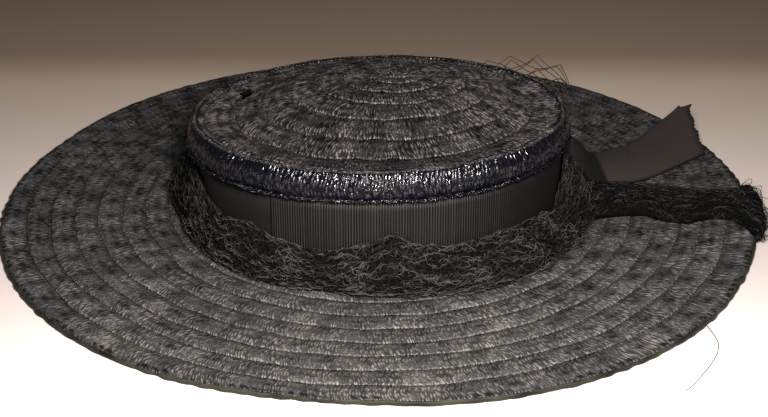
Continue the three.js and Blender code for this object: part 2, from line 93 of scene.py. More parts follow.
def gridFaces(rows, columns, closeRows=False, closeColumns=False, start=0):
    # quads of a grid of points numbered row by row, facing dColumn x dRow
    i = np.arange(rows if closeRows else rows - 1)
    j = np.arange(columns if closeColumns else columns - 1)
    i, j = np.meshgrid(i, j, indexing="ij")
    nextI, nextJ = (i + 1) % rows, (j + 1) % columns
    quads = [i * columns + j, i * columns + nextJ, nextI * columns + nextJ, nextI * columns + j]
    return np.stack(quads, -1).reshape(-1, 4) + start


def unwound(places, faces, around, across):
    # places (u, v) of the corners of faces, where rows close on themselves after around
    # in u and across in v
    at = places[faces].copy()
    for axis, period in ((0, around), (1, across)):
        value = at[..., axis]
        jumps = np.ptp(value, axis=1, keepdims=True) > period / 2
        value += period * (jumps & (value < period / 2))
    return at


def putMesh(name, points, faceSets, material, marks=None, places=None):
    # a mesh object from points in mm and arrays of triangles or quads, riding on the hat;
    # marks are numbers per point that the material reads by name, places the u and v of
    # every corner
    mesh = bpy.data.meshes.new(name)
    points = np.asarray(points, float).reshape(-1, 3) / 1000 + axisPoint
    mesh.vertices.add(len(points))
    mesh.vertices.foreach_set("co", points.ravel())
    corners = np.concatenate([f.ravel() for f in faceSets])
    sizes = np.concatenate([np.full(len(f), f.shape[1]) for f in faceSets])
    mesh.loops.add(len(corners))
    mesh.loops.foreach_set("vertex_index", corners)
    mesh.polygons.add(len(sizes))
    mesh.polygons.foreach_set("loop_start", np.concatenate([[0], np.cumsum(sizes)[:-1]]))
    mesh.polygons.foreach_set("loop_total", sizes)
    mesh.polygons.foreach_set("use_smooth", np.full(len(sizes), True))
    if places is not None:
        mesh.uv_layers.new(name="braid").data.foreach_set("uv", np.asarray(places, float).ravel())
    for key, value in (marks or {}).items():
        layer = mesh.attributes.new(key, "FLOAT", "POINT")
        layer.data.foreach_set("value", np.asarray(value, float).ravel())
    mesh.materials.append(material)
    mesh.update()
    mesh.validate()
    piece = bpy.data.objects.new(name, mesh)
    bpy.context.scene.collection.objects.link(piece)
    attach(piece, "root")
    return piece


def smoothCurve(x, xs, ys, width):
    # a table read along x with its corners rounded over about that width
    offsets = np.linspace(-width, width, 9)
    weights = 1 - np.abs(offsets) / (width * 1.01)
    total = sum(w * np.interp(x + o, xs, ys) for w, o in zip(weights, offsets))
    return total / weights.sum()


def roundCurve(turn, turns, values, width):
    # the same for a table in degrees that closes on itself
    turn = (np.asarray(turn) + 180) % 360 - 180
    xs = np.concatenate([np.array(turns) - 360, turns, np.array(turns) + 360])
    return smoothCurve(turn, xs, np.tile(values, 3), width)


def waves(angle, seed, count=6, low=1, high=9):
    # a wavy line round the hat: the mean of sines of whole frequencies and chance phases
    chance = np.random.default_rng(seed)
    rates = chance.integers(low, high + 1, count)
    phases = chance.uniform(0, 6.28, count)
    return sum(np.sin(r * angle + p) for r, p in zip(rates, phases)) / np.sqrt(count)


def wander(x, seed, scale, count=5):
    # the same along an open line, in waves about that long
    chance = np.random.default_rng(seed)
    rates = 6.28 / (scale * chance.uniform(0.6, 1.8, count))
    phases = chance.uniform(0, 6.28, count)
    return sum(np.sin(r * x + p) for r, p in zip(rates, phases)) / np.sqrt(count)


def tubes(lines, radius, normals, sides=3):
    # lines (n, k, 3) as closed tubes: points at equal turns about each line, in the
    # plane of its normal and of normal x direction
    n, k, _ = lines.shape
    along = np.gradient(lines, axis=1)
    along /= np.linalg.norm(along, axis=2, keepdims=True) + 1e-9
    side = np.cross(along, normals)
    side /= np.linalg.norm(side, axis=2, keepdims=True) + 1e-9
    up = np.cross(side, along)
    turn = np.arange(sides) * 2 * np.pi / sides + 0.5
    radius = np.broadcast_to(radius, (n, k))[..., None, None]
    ring = side[:, :, None] * np.cos(turn)[:, None] + up[:, :, None] * np.sin(turn)[:, None]
    points = lines[:, :, None] + ring * radius
    one = gridFaces(k, sides, False, True)[:, ::-1]
    starts = np.arange(n)[:, None, None] * k * sides
    quads = (one[None] + starts).reshape(-1, 4)
    fan = np.stack([np.zeros(sides - 2, int), np.arange(1, sides - 1), np.arange(2, sides)], 1)
    first = (fan[None] + starts).reshape(-1, 3)
    last = (fan[None, :, ::-1] + starts + (k - 1) * sides).reshape(-1, 3)
    return points.reshape(-1, 3), [quads, np.concatenate([first, last])]


def threadTones(shares, seed, power):
    # most threads dark, few of them pale: chance to that power, times painted shade from the share that
    # each point of a thread has from deep in the folds to their tops, for every corner of tubes with three
    # sides
    chance = np.random.default_rng(seed).uniform(0, 1, (len(shares), 1)) ** power
    return {"tone": np.repeat((chance * (0.15 + 0.85 * shares)).ravel(), 3)}


def joined(parts):
    # several (points, faceSets) as one
    points, faceSets, start = [], [], 0
    for some, sets in parts:
        points.append(some)
        faceSets += [s + start for s in sets]
        start += len(some)
    return np.concatenate(points), faceSets


def bell(value, middle, width):
    # 1 in the middle, dying away over the width: e to the minus square
    return np.exp(-((value - middle) / width) ** 2)


def unit(vectors):
    # each vector brought to length 1
    return vectors / np.linalg.norm(vectors, axis=-1, keepdims=True)


# Shape of the hat

hat = {
    "wall": 2.0, "lap": 0.9,  # thickness of the straw, and how far a row stands up over it
    "gap": 0.3,  # left between one piece and the next
    "brimRadius": 195.0, "brimRow": 12.0,
    "flatRadius": 114.7,  # up to here the brim is level
    "frontLift": 1.0, "rightLift": 1.5, "backLift": 2.0, "leftLift": 0.6,  # of its edge
    "seamRadius": 95.5, "seamHeight": 52.9,  # where the tip meets the side row
    "frontRise": 8.2, "rightRise": 2.2,  # of that seam, as the crown leans
    "tipDrift": 11.0,  # how far the middle of the tip's rows lies to the right
    "sideHeight": 15.5, "wallRadius": 92.7, "bandOuter": 94.0, "wrapInner": 95.0,
}
# how far the edge of the brim strays from a circle, in mm, and its rows with it
outline = {
    "turn": [-180, -155, -135, -117, -105, -93, -79, -62, -45, -28, 0, 14, 40, 65, 120, 141, 158, 170],
    "stray": [-1.9, 0.8, 2.2, 1.9, -0.6, -1.2, 2.4, 3.8, 3, -0.2, -2.2, -2.3, -3, -4, -4.8, -3.9, -5, -2.5],
}
rowStray = {"turn": [-180, -165, -89, -18, 60, 120], "stray": [-1.5, -1.2, 0.4, -3.8, -2, -1]}
# height of the tip's dome over the seam, by the distance from its middle
dome = {
    "out": [0, 13.6, 26, 38.5, 51.5, 64.5, 75.8, 89.4, 95.5, 100],
    "rise": [17.7, 17.7, 16.9, 15, 11.2, 5, -1.4, -1.6, 0, 0],
}


def undersideAt(radius, angle):
    # level near the crown, then rising to the edge with the power 1.5 of the way
    reach = np.clip((radius - hat["flatRadius"]) / (hat["brimRadius"] - hat["flatRadius"]), 0, 1.1)
    side, back = np.cos(angle), np.sin(angle)
    lift = (np.maximum(side, 0) ** 2 * hat["rightLift"] + np.maximum(-side, 0) ** 2 * hat["leftLift"]
            + np.maximum(back, 0) ** 2 * hat["backLift"] + np.maximum(-back, 0) ** 2 * hat["frontLift"])
    return lift * reach ** 1.5


def leanAt(x, y):
    # the crown is higher at the front and right
    return (hat["frontRise"] * -y + hat["rightRise"] * x) / hat["seamRadius"]


def brimEdgeAt(angle):
    # distance of the edge of the brim: its radius and its stray at that angle
    return hat["brimRadius"] + roundCurve(np.degrees(angle), outline["turn"], outline["stray"], 9)


def restAt(x, y):
    # top of the brim where something lies on it
    radius = np.minimum(np.hypot(x, y), hat["brimRadius"])
    return undersideAt(radius, np.arctan2(y, x)) + hat["wall"] + hat["lap"] + hat["gap"]


def domeAt(radius):
    # the table of the dome with its corners rounded
    return smoothCurve(radius, dome["out"], dome["rise"], 5)


# Materials

plus, less = {"operation": "ADD"}, {"operation": "SUBTRACT"}
times, timesPlus = {"operation": "MULTIPLY"}, {"operation": "MULTIPLY_ADD"}
smoothStep = {"interpolation_type": "SMOOTHSTEP"}

# The two patterns that all the straw has: strokes as wide as a lane, and a finer check.
# Each has the chance in its cells, the distances over which a cell fades in, and how much
# it adds to the relief always and where the strokes are clear.
strawMarks = {
    "stroke": {"finer": 1.0, "chance": 0.7, "outer": 0.6, "inner": 0.15, "always": 0.25, "clear": 0.75},
    "check": {"finer": 2.7, "chance": 0.95, "outer": 0.55, "inner": 0.1, "always": 0.5, "clear": -0.35},
}
strawRelief = {
    "clearFrom": 0.44, "clearTo": 0.56,  # noise at which the strokes begin to be clear, and are
    "grain": 0.5, "clear": -0.3, "level": 0.65, "depth": 0.0004,  # depth in metres
    "matt": 0.15,  # share of the shine that is left between the strokes
}


def strawMaterial(name, look):
    # Flattened plait of dyed straw. u counts the straws along a row and v is the share
    # across it. Each straw shows as a short stroke, a cell of a Voronoi pattern in u and v,
    # with its own tone and gloss; in worn patches the strokes break up into a fine check.
    # The varnish left on single straws gives small sharp glints.
    steps = [
        ("place", "TexCoord", {}, {}),
        ("row", "SeparateXYZ", {}, {"Vector": "place.UV"}),
        ("tone", "Attribute", {"attribute_name": "tone"}, {}),
    ]
    sizes = (("leaning", "leanPatch", 2.0), ("wear", "strokePatch", 2.0), ("grain", "grain", 3.0),
             ("dust", "dustPatch", 4.0))
    for part, size, detail in sizes:
        steps.append((part, "TexNoise", {}, {
            "Scale": 1000 / look[size], "Detail": detail, "Vector": "place.Object"}))
    # the strokes lean to and fro along the row: u + lean x v
    steps += [
        ("away", "Math", less, {0: "leaning.Fac", 1: 0.5}),
        ("lean", "Math", times, {0: "away.Value", 1: look["lean"]}),
        ("along", "Math", timesPlus, {0: "lean.Value", 1: "row.Y", 2: "row.X"}),
        ("clear", "MapRange", smoothStep, {
            "From Min": strawRelief["clearFrom"], "From Max": strawRelief["clearTo"], "Value": "wear.Fac"}),
    ]
    for part, mark in strawMarks.items():
        steps += [
            (part + "Lane", "Math", times, {0: "row.Y", 1: look["lanes"] * mark["finer"]}),
            (part + "Spot", "CombineXYZ", {}, {"X": "along.Value", "Y": part + "Lane.Value"}),
            (part + "Cell", "TexVoronoi", {"voronoi_dimensions": "2D"}, {
                "Scale": 1.0, "Randomness": mark["chance"], "Vector": part + "Spot.Vector"}),
            (part, "MapRange", smoothStep, {
                "From Min": mark["outer"], "From Max": mark["inner"], "Value": part + "Cell.Distance"}),
            (part + "Share", "Math", timesPlus, {0: "clear.Result", 1: mark["clear"], 2: mark["always"]}),
            (part + "Relief", "Math", times, {0: part + ".Result", 1: part + "Share.Value"}),
        ]
    # the tone follows the relief, each straw's own chance and the dust
    steps += [
        ("marks", "Math", plus, {0: "strokeRelief.Value", 1: "checkRelief.Value"}),
        ("grainy", "Math", timesPlus, {0: "grain.Fac", 1: strawRelief["grain"], 2: "marks.Value"}),
        ("relief", "Math", timesPlus, {0: "clear.Result", 1: strawRelief["clear"], 2: "grainy.Value"}),
        ("height", "Math", less, {0: "relief.Value", 1: strawRelief["level"]}),
        ("shade", "Math", timesPlus, {0: "height.Value", 1: look["contrast"], 2: "tone.Fac"}),
        ("own", "SeparateColor", {}, {"Color": "strokeCell.Color"}),
        ("ownAway", "Math", less, {0: "own.Red", 1: 0.5}),
        ("ownShade", "Math", timesPlus, {0: "ownAway.Value", 1: look["strawShare"], 2: "shade.Value"}),
        ("dustAway", "Math", less, {0: "dust.Fac", 1: 0.5}),
        ("dusty", "Math", timesPlus, {0: "dustAway.Value", 1: look["dustShare"], 2: "ownShade.Value"}),
        ("colour", "ValToRGB", {}, {"Fac": "dusty.Value"}, [
            (0.1, look["dark"]), (0.5, look["middle"]), (0.9, look["pale"])]),
        ("rough", "MapRange", smoothStep, {
            "From Min": look["glossFrom"], "From Max": 1.0, "To Min": look["rough"], "To Max": look["smooth"],
            "Value": "own.Green"}),
        ("bump", "Bump", {}, {
            "Strength": look["bump"], "Distance": strawRelief["depth"], "Height": "relief.Value"}),
        ("gleam", "Math", timesPlus, {
            0: "stroke.Result", 1: look["shine"] * (1 - strawRelief["matt"]),
            2: look["shine"] * strawRelief["matt"]}),
        ("surface", "BsdfPrincipled", {}, {
            "IOR": 1.5, "Base Color": "colour.Color", "Roughness": "rough.Result", "Normal": "bump.Normal",
            "Specular IOR Level": "gleam.Value"}),
    ]
    return newMaterial(name, steps)


# lines of the net's meshes: how far from a cell's border they are full and gone, and
# how much they lift the tone
netLines = {"full": 0.04, "gone": 0.16, "share": 0.8}


def clothMaterial(name, look):
    # Matt dyed thread or ribbon: a dark ground and a paler tone, which follow the mark tone
    # with its painted light and shade, a cloud of wear and the unevenness of the fibres. Net has
    # pale lines along the borders of stretched cells too.
    steps = [
        ("place", "TexCoord", {}, {}),
        ("tone", "Attribute", {"attribute_name": "tone"}, {}),
        ("cloud", "TexNoise", {}, {"Scale": 1000 / look["patch"], "Detail": 5.0, "Vector": "place.Object"}),
        ("fibre", "TexNoise", {}, {"Scale": 1000 / look["fibre"], "Detail": 2.0, "Vector": "place.Object"}),
        ("cloudy", "Math", timesPlus, {0: "cloud.Fac", 1: look["cloud"], 2: "tone.Fac"}),
        ("shade", "Math", timesPlus, {0: "fibre.Fac", 1: look["cloud"], 2: "cloudy.Value"}),
    ]
    if "cell" in look:
        long, high = look["cell"]
        steps += [
            ("flat", "Mapping", {}, {"Scale": (1 / long, 1 / high, 1), "Vector": "place.UV"}),
            ("border", "TexVoronoi", {"voronoi_dimensions": "2D", "feature": "DISTANCE_TO_EDGE"}, {
                "Scale": 1.0, "Vector": "flat.Vector"}),
            ("line", "MapRange", smoothStep, {
                "From Min": netLines["full"], "From Max": netLines["gone"], "To Min": 1.0, "To Max": 0.0,
                "Value": "border.Distance"}),
            ("lined", "Math", timesPlus, {0: "line.Result", 1: netLines["share"], 2: "shade.Value"}),
        ]
    # the two noises add about once the cloud to the tone, give or take a quarter
    darkest, palest = look["cloud"] * 0.75, min(1.0, look["cloud"] * 1.25 + look["span"])
    steps += [
        ("colour", "ValToRGB", {}, {"Fac": "lined.Value" if "cell" in look else "shade.Value"}, [
            (darkest, look["dark"]), (palest, look["pale"])]),
        ("bump", "Bump", {}, {"Strength": look["bump"], "Distance": 0.0002, "Height": "fibre.Fac"}),
        ("surface", "BsdfPrincipled", {}, {
            "Roughness": look["rough"], "Specular IOR Level": look["shine"], "Base Color": "colour.Color",
            "Normal": "bump.Normal"}),
    ]
    return newMaterial(name, steps)


# Patches, grain, fibre and cells are sizes in mm. Grain and fibre are drawn several times
# as coarse as real ones, which are too fine to show.

# Wheat straw, dyed black, plaited and sewn: dull strokes worn to a dusty grey
brimStraw = strawMaterial("dyedStrawBraid", {
    "dark": "#131314", "middle": "#3a3938", "pale": "#7c7874", "lanes": 3.2, "lean": 5.0, "leanPatch": 14,
    "strokePatch": 9, "grain": 0.6, "contrast": 0.34, "strawShare": 0.16, "dustPatch": 45, "dustShare": 0.08,
    "rough": 0.5, "smooth": 0.18, "glossFrom": 0.8, "bump": 1.0, "shine": 0.5})
# The same straw on the tip: darker between its strokes, so that they stand out more
tipStraw = strawMaterial("dyedStrawTip", {
    "dark": "#0b0a0c", "middle": "#2a2828", "pale": "#7b7570", "lanes": 3.2, "lean": 5.0, "leanPatch": 12,
    "strokePatch": 9, "grain": 0.6, "contrast": 0.45, "strawShare": 0.16, "dustPatch": 40, "dustShare": 0.08,
    "rough": 0.46, "smooth": 0.16, "glossFrom": 0.75, "bump": 1.0, "shine": 0.5})
# Straw under a coat of varnish: near black, with sharp streaks of light on single straws
glossStraw = strawMaterial("varnishedStrawBraid", {
    "dark": "#030306", "middle": "#09090f", "pale": "#181726", "lanes": 3.0, "lean": 3.0, "leanPatch": 16,
    "strokePatch": 14, "grain": 0.9, "contrast": 0.3, "strawShare": 0.3, "dustPatch": 30, "dustShare": 0.2,
    "rough": 0.25, "smooth": 0.09, "glossFrom": 0.2, "bump": 1.0, "shine": 0.9})
# Woven grosgrain ribbon: black between its ribs, with painted light on top of them, hardly any gloss
grosgrain = clothMaterial("grosgrainRibbon", {
    "dark": "#010101", "pale": "#2e2c2a", "patch": 25, "fibre": 0.7, "cloud": 0.15, "span": 0.8, "bump": 0.4,
    "rough": 0.55, "shine": 0.15})
# The same ribbon faded by light to a brownish grey, quite matt
fadedRibbon = clothMaterial("fadedGrosgrain", {
    "dark": "#030303", "pale": "#312c29", "patch": 30, "fibre": 0.7, "cloud": 0.15, "span": 0.8, "bump": 0.4,
    "rough": 0.8, "shine": 0.15})
# Smooth plaited edging of dyed fibre: even, dark and faintly green
darkEdging = clothMaterial("darkEdging", {
    "dark": "#0b0b07", "pale": "#292920", "patch": 12, "fibre": 0.9, "cloud": 0.3, "span": 0.6, "bump": 0.3,
    "rough": 0.6, "shine": 0.15})
# Knotted cotton net, gathered: a black ground with a web of thread, with painted shade in the hollows of its
# folds
netShadow = clothMaterial("crumpledNet", {
    "dark": "#030303", "pale": "#141413", "patch": 4, "fibre": 0.9, "cloud": 0.1, "span": 0.9, "bump": 0.8,
    "rough": 0.9, "shine": 0.05, "cell": (3.4, 1.6)})
# Twisted cotton thread of the net, dyed black, with painted shade deep in the folds so that only their tops
# show grey
netThread = clothMaterial("twistedNetThread", {
    "dark": "#030303", "pale": "#474643", "patch": 3, "fibre": 0.8, "cloud": 0.1, "span": 0.85, "bump": 0.3,
    "rough": 0.55, "shine": 0.2})
# The same thread in the bundle on the brim: a little blacker and quite matt
tailThread = clothMaterial("matNetThread", {
    "dark": "#020202", "pale": "#444341", "patch": 3, "fibre": 0.8, "cloud": 0.15, "span": 0.8, "bump": 0.3,
    "rough": 0.6, "shine": 0.04})
# Stiffened net thread in the open piece, faded to brown
crestThread = clothMaterial("fadedNetThread", {
    "dark": "#120e0b", "pale": "#3a3028", "patch": 6, "fibre": 0.8, "cloud": 0.4, "span": 0, "bump": 0.3,
    "rough": 0.7, "shine": 0.2})
print("materials made")

# Straw braid

braid = {
    "strand": 1.3,  # mm from one straw to the next along the braid
    "slant": 1.1,  # straws that each one runs on from the spine to the edge
    "uneven": 0.09,  # mm that a straw stands out or back
    "tuck": 2.4,  # mm of each row under the row inside it
    "loop": 0.22,  # mm that the turned straws stand out at the edge
    "wavy": 0.35, "bumpy": 0.14,  # mm that the outer edge and the top stray
    "tone": 0.535, "toneStray": 0.05,
    # painted shade: along the seam, where each row tucks under the one inside it, and on the underside of the
    # rows
    "seamAt": 0.17, "seamWide": 0.05, "seamShade": 0.38, "underShade": 0.35,
}
# the flat, darker places where straws were joined, fainter in front
joins = {
    "every": 21.5, "drift": 2.2, "sharp": 2.4,  # mm apart, radians of stray, power of the wave
    "at": 0.52, "wide": 0.25, "even": 0.6, "shade": 0.34, "frontLess": 0.2,
}
# the outermost row: painted shade on its outer rim and on its underside, and the dark dots of its stitches
rimTones = {"from": 0.88, "over": 0.09, "shade": 0.25, "under": 0.3, "stitch": 0.6, "stitchColumn": 8}
# across the row from its tucked edge to its outer edge, then back underneath
braidSection = {
    "across": [0.0, 0.12, 0.22, 0.34, 0.46, 0.58, 0.7, 0.81, 0.9, 0.97, 1.0, 0.98, 0.66, 0.33, 0.03],
    "up": [-0.9, -0.5, -0.1, 0.22, 0.44, 0.6, 0.72, 0.77, 0.7, 0.46, 0.05, -0.45, -0.75, -0.95, -1.25],
    "lane": [0, 0, 0, 1, 1, 1, 2, 2, 3, 3, 3, 3, 4, 4, 4],
    "loop": [0, 0, 0, 0, 0, 0, 0, 0.1, 0.5, 0.9, 1.0, 0.7, 0, 0, 0],
    "rimAcross": [0, 0, 0, 0, 0, 0, 0, 0, 0, 0.01, 0, 0.015, 0, 0, 0],
    "rimDown": [0, 0, 0, 0, 0, 0, 0, 0, 0, 0, 0.1, 1.0, 0.8, 0.5, 0.2],
    "top": [1, 1, 1, 1, 1, 1, 1, 1, 1, 1, 1, 0, 0, 0, 0],
}


def braidPlaces(i, share, faces, count, seed):
    # u and v of every corner: the number of the straw and the share across the row, which
    # runs on from 1 to 2 underneath; each row has its own part of the pattern
    places = np.stack([i + 0 * share, share + 0.0 * i], -1).reshape(-1, 2)
    return unwound(places, faces, count, 2.0) + np.array([seed * 7, 0])


def braidRow(inner, outer, heightAt, seed, shift=0.0, rim=0.0):
    # A closed row of braid. Point (i, j): straw i with the slant of column j, distance
    # inner + across * (outer - inner), height of the wall there plus the section's height
    # and the straw's own stray. A rim stands square at the edge, down by that much.
    chance = np.random.default_rng(seed)
    across, up, lane, top = (np.array(braidSection[key]) for key in ("across", "up", "lane", "top"))
    across = across + (rim > 0) * np.array(braidSection["rimAcross"])
    up = up - rim * np.array(braidSection["rimDown"])
    meanRadius = float(np.mean(outer(np.linspace(0, 6.28, 60))))
    count = int(round(2 * np.pi * meanRadius / braid["strand"]))
    i = np.arange(count)[:, None]
    slant = braid["slant"] * np.abs(2 * across - 1)
    angle = (i + slant) * 2 * np.pi / count
    near, far = inner(angle), outer(angle)
    far = far + braid["wavy"] * waves(angle, seed + 1, 5, 9, 31)
    even = 1.0 - 2.0 * (i % 2)
    straw = chance.normal(0, 1, (count, 5))[:, lane]
    drift = joins["drift"] * waves(angle, seed + 2, 4, 2, 9)
    patch = (0.5 + 0.5 * np.cos(2 * np.pi * angle * meanRadius / joins["every"] + drift)) ** joins["sharp"]
    patch = patch * bell(across, joins["at"], joins["wide"])
    radius = near + across * (far - near) + braid["loop"] * np.array(braidSection["loop"]) * even
    x, y = shift + radius * np.cos(angle), radius * np.sin(angle)
    z = heightAt(radius, x, y, angle) + up + braid["uneven"] * straw * (1 - joins["even"] * patch)
    z = z + braid["bumpy"] * waves(angle + across, seed + 3, 6, 12, 60) * top
    # tones: the joins, painted shade along the seam and underneath, then the rim's painted shade and its
    # stitches
    shade = joins["shade"] - joins["frontLess"] * np.clip(-2.5 * np.sin(angle) - 1.5, 0, 1)
    tone = braid["tone"] + braid["toneStray"] * waves(angle, seed + 4, 5, 3, 25) - shade * patch + 0 * z
    tone = tone - braid["seamShade"] * bell(across, braid["seamAt"], braid["seamWide"]) * top
    tone = tone - braid["underShade"] * (1 - top)
    if rim > 0:
        outermost = np.clip((across - rimTones["from"]) / rimTones["over"], 0, 1)
        # painted shade on the outer rim and on the underside of the outermost row
        tone = tone - rimTones["shade"] * outermost * top - rimTones["under"] * (1 - top)
        stitched = (i % 4 < 2) * (waves(angle, seed + 5, 5, 15, 50) > 0.15)
        tone = tone - rimTones["stitch"] * stitched * (np.arange(len(across)) == rimTones["stitchColumn"])
    points = np.stack([x, y, z], -1).reshape(-1, 3)
    faces = gridFaces(count, len(across), True, True)
    share = np.where(top > 0, across, 2 - across)
    return points, [faces], tone.ravel(), braidPlaces(i, share, faces, count, seed)


def braidPiece(name, rows, material):
    # several rows as one piece
    points, faceSets = joined([row[:2] for row in rows])
    tone = np.concatenate([row[2] for row in rows])
    places = np.concatenate([row[3].reshape(-1, 2) for row in rows])
    return putMesh(name, points, faceSets, material, {"tone": tone}, places)


# Brim: rows lapped outwards like shingles, the outermost first
brimMake = {
    "rows": 8, "headRadius": 90.9,
    "roundTo": 100, "strayOver": 95, "strayShare": 0.35,  # rows stray more, the further out
    "ownStray": 0.5, "rim": 0.6, "sunk": 0.4,  # mm
    "darker": 0.035, "behind": 0.055, "behindOver": 130,  # tones: darker in all, and painted shade towards the back
}
seams = [hat["brimRadius"] - k * hat["brimRow"] for k in range(brimMake["rows"])] + [brimMake["headRadius"]]


def brimSeam(k):
    # the distance of seam k at an angle: its radius, a share of the stray of the edge and
    # a stray of its own; the innermost seam is round
    radius = seams[k]
    share = max(0.0, (radius - brimMake["roundTo"]) / brimMake["strayOver"])
    inside, free = float(k > 0), float(k < len(seams) - 1)

    def at(angle):
        turn = np.degrees(angle)
        stray = roundCurve(turn, outline["turn"], outline["stray"], 9) * share
        stray = stray * (brimMake["strayShare"] if inside else 1)
        own = inside * roundCurve(turn, rowStray["turn"], rowStray["stray"], 30)
        own = own + inside * brimMake["ownStray"] * waves(angle, 50 + k, 5, 2, 11)
        return radius + free * (stray + own)
    return at


def makeBrim():
    # rows from the edge inwards, each on the rising underside between two seams
    rows = []
    for k in range(len(seams) - 1):
        tuck = 0.0 if k == len(seams) - 2 else braid["tuck"]
        points, faceSets, tone, places = braidRow(
            lambda a, f=brimSeam(k + 1), t=tuck: f(a) - t, brimSeam(k),
            lambda r, x, y, a: undersideAt(r, a) + hat["wall"] - brimMake["sunk"], 100 + 10 * k,
            rim=brimMake["rim"] * (k == 0))
        # painted shade: the brim grows darker towards the back
        behind = np.clip(points[:, 1] / brimMake["behindOver"], -1, 1)
        rows.append((points, faceSets, tone - brimMake["darker"] - brimMake["behind"] * behind, places))
    return braidPiece("brimBraid", rows, brimStraw)


brim = makeBrim()
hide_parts("brim")

edging = {
    "half": 0.7, "out": 0.1, "below": 0.1,  # mm thick by half, out from the edge, below the top
    "foot": 0.15, "lift": 0.45,  # mm over the floor, and the share of the brim's lift
    "bend": 0.15, "pucker": 0.3,  # mm that the edge strays in long waves and in short ones
    "tone": 0.35, "toneStray": 0.25, "palerAt": 246, "palerOver": 9, "paler": 0.5,
}


def makeBrimEdge():
    # The smooth dark edging: a closed ring, its section a flat oval that stands upright
    # and comes closer to the floor at the front
    steps, sides = 1080, 10
    turns = np.arange(sides) * 2 * np.pi / sides
    angle = np.arange(steps)[:, None] * 2 * np.pi / steps
    radius = brimEdgeAt(angle) + edging["out"] + edging["half"] * np.cos(turns)
    radius = radius + edging["bend"] * waves(angle, 55, 6, 9, 40)
    radius = radius + edging["pucker"] * waves(angle, 57, 8, 50, 150)
    x, y = radius * np.cos(angle), radius * np.sin(angle)
    low = undersideAt(hat["brimRadius"], angle) * edging["lift"] + edging["foot"]
    high = undersideAt(hat["brimRadius"], angle) + hat["wall"] - edging["below"]
    z = (low + high) / 2 + (high - low) / 2 * np.sin(turns)
    tone = edging["tone"] + edging["paler"] * bell(np.degrees(angle), edging["palerAt"], edging["palerOver"])
    tone = tone + edging["toneStray"] * waves(angle, 56, 6, 5, 60) + 0 * z
    faces = [gridFaces(steps, sides, True, True)]
    return putMesh("brimEdge", np.stack([x, y, z], -1), faces, darkEdging, {"tone": tone})


edge = makeBrimEdge()
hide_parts("brim")
print("brim made", len(brim.data.polygons) * 2)

# Tip of the crown: rows round a middle that lies a little to the right
tipSeams = [95.3, 89.4, 75.8, 64.5, 51.5, 38.5, 26.0, 13.6]  # mm from the middle
tipMake = {
    "coilLong": 9.5, "coilWide": 4.2,  # half sizes of the long first coil
    "coilTuck": 1.5, "pole": 0.3, "stray": 0.45, "sunk": 0.25,  # mm
}
# tones: painted shade at the front and painted light at the sides; the outermost row is paler
# at the front, and has painted shade underneath
tipTones = {
    "paler": 0.035, "ahead": 0.16, "aheadOver": 90, "aside": 0.09, "asideOver": 70,
    "edge": 0.3, "edgeLess": 0.06, "under": 0.3, "topColumns": 9,
}
# a small oval hole is worn through where two rows meet
worn = {"rows": [1, 2], "x": -69.8, "y": 30.5, "wide": 7.6, "long": 15.0, "ragged": 0.06}  # mm


def startCoil(a):
    # distance to an ellipse along x
    long, wide = tipMake["coilLong"], tipMake["coilWide"]
    return long * wide / np.hypot(wide * np.cos(a), long * np.sin(a))


def tipHeight(r, x, y, a):
    # height of the domed tip under a row: the seam's, the dome's and the lean of the crown
    return hat["seamHeight"] + domeAt(r) - tipMake["sunk"] + leanAt(x, y)


def makeTip():
    # rows from the outermost inwards, the long first coil last; each one's middle has
    # drifted further to the right
    rows = []
    for k, radius in enumerate(tipSeams):
        innerRadius = tipSeams[k + 1] - braid["tuck"] if k + 1 < len(tipSeams) else None
        drift = hat["tipDrift"] * (1 - radius / hat["seamRadius"])
        stray = tipMake["stray"] * (k > 0)
        rows.append(braidRow(
            lambda a, r=innerRadius: startCoil(a) - tipMake["coilTuck"] if r is None else r + 0 * a,
            lambda a, r=radius, w=stray, s=k: r + w * waves(a, 70 + s, 5, 2, 9),
            tipHeight, 300 + 10 * k, drift))
    rows.append(braidRow(lambda a: tipMake["pole"] + 0 * a, startCoil, tipHeight, 390, hat["tipDrift"] - 1))
    for k, (points, (faces,), tone, places) in enumerate(rows):
        ahead = np.clip(-points[:, 1] / tipTones["aheadOver"], 0, 1)
        aside = np.clip(np.abs(points[:, 0]) / tipTones["asideOver"], 0, 1)
        # painted shade at the front and painted light at the sides
        tone = tone + tipTones["paler"] - tipTones["ahead"] * ahead + tipTones["aside"] * aside
        if k == 0:
            columns = len(braidSection["across"])
            tone = tone + tipTones["edge"] * ahead - tipTones["edgeLess"]
            # painted shade on the underside of the outermost row
            tone = tone - tipTones["under"] * (np.arange(len(tone)) % columns >= tipTones["topColumns"])
        if k in worn["rows"]:
            # faces whose middle lies in the hole are left out
            middle = points[faces].mean(1)
            out, along = (middle[:, 0] - worn["x"]) / worn["wide"], (middle[:, 1] - worn["y"]) / worn["long"]
            whole = np.hypot(out, along) > 0.5 + worn["ragged"] * np.sin(np.arctan2(along, out) * 5)
            faces, places = faces[whole], places[whole]
        rows[k] = points, [faces], tone, places
    return braidPiece("tipBraid", rows, tipStraw)


tip = makeTip()
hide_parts("crown")

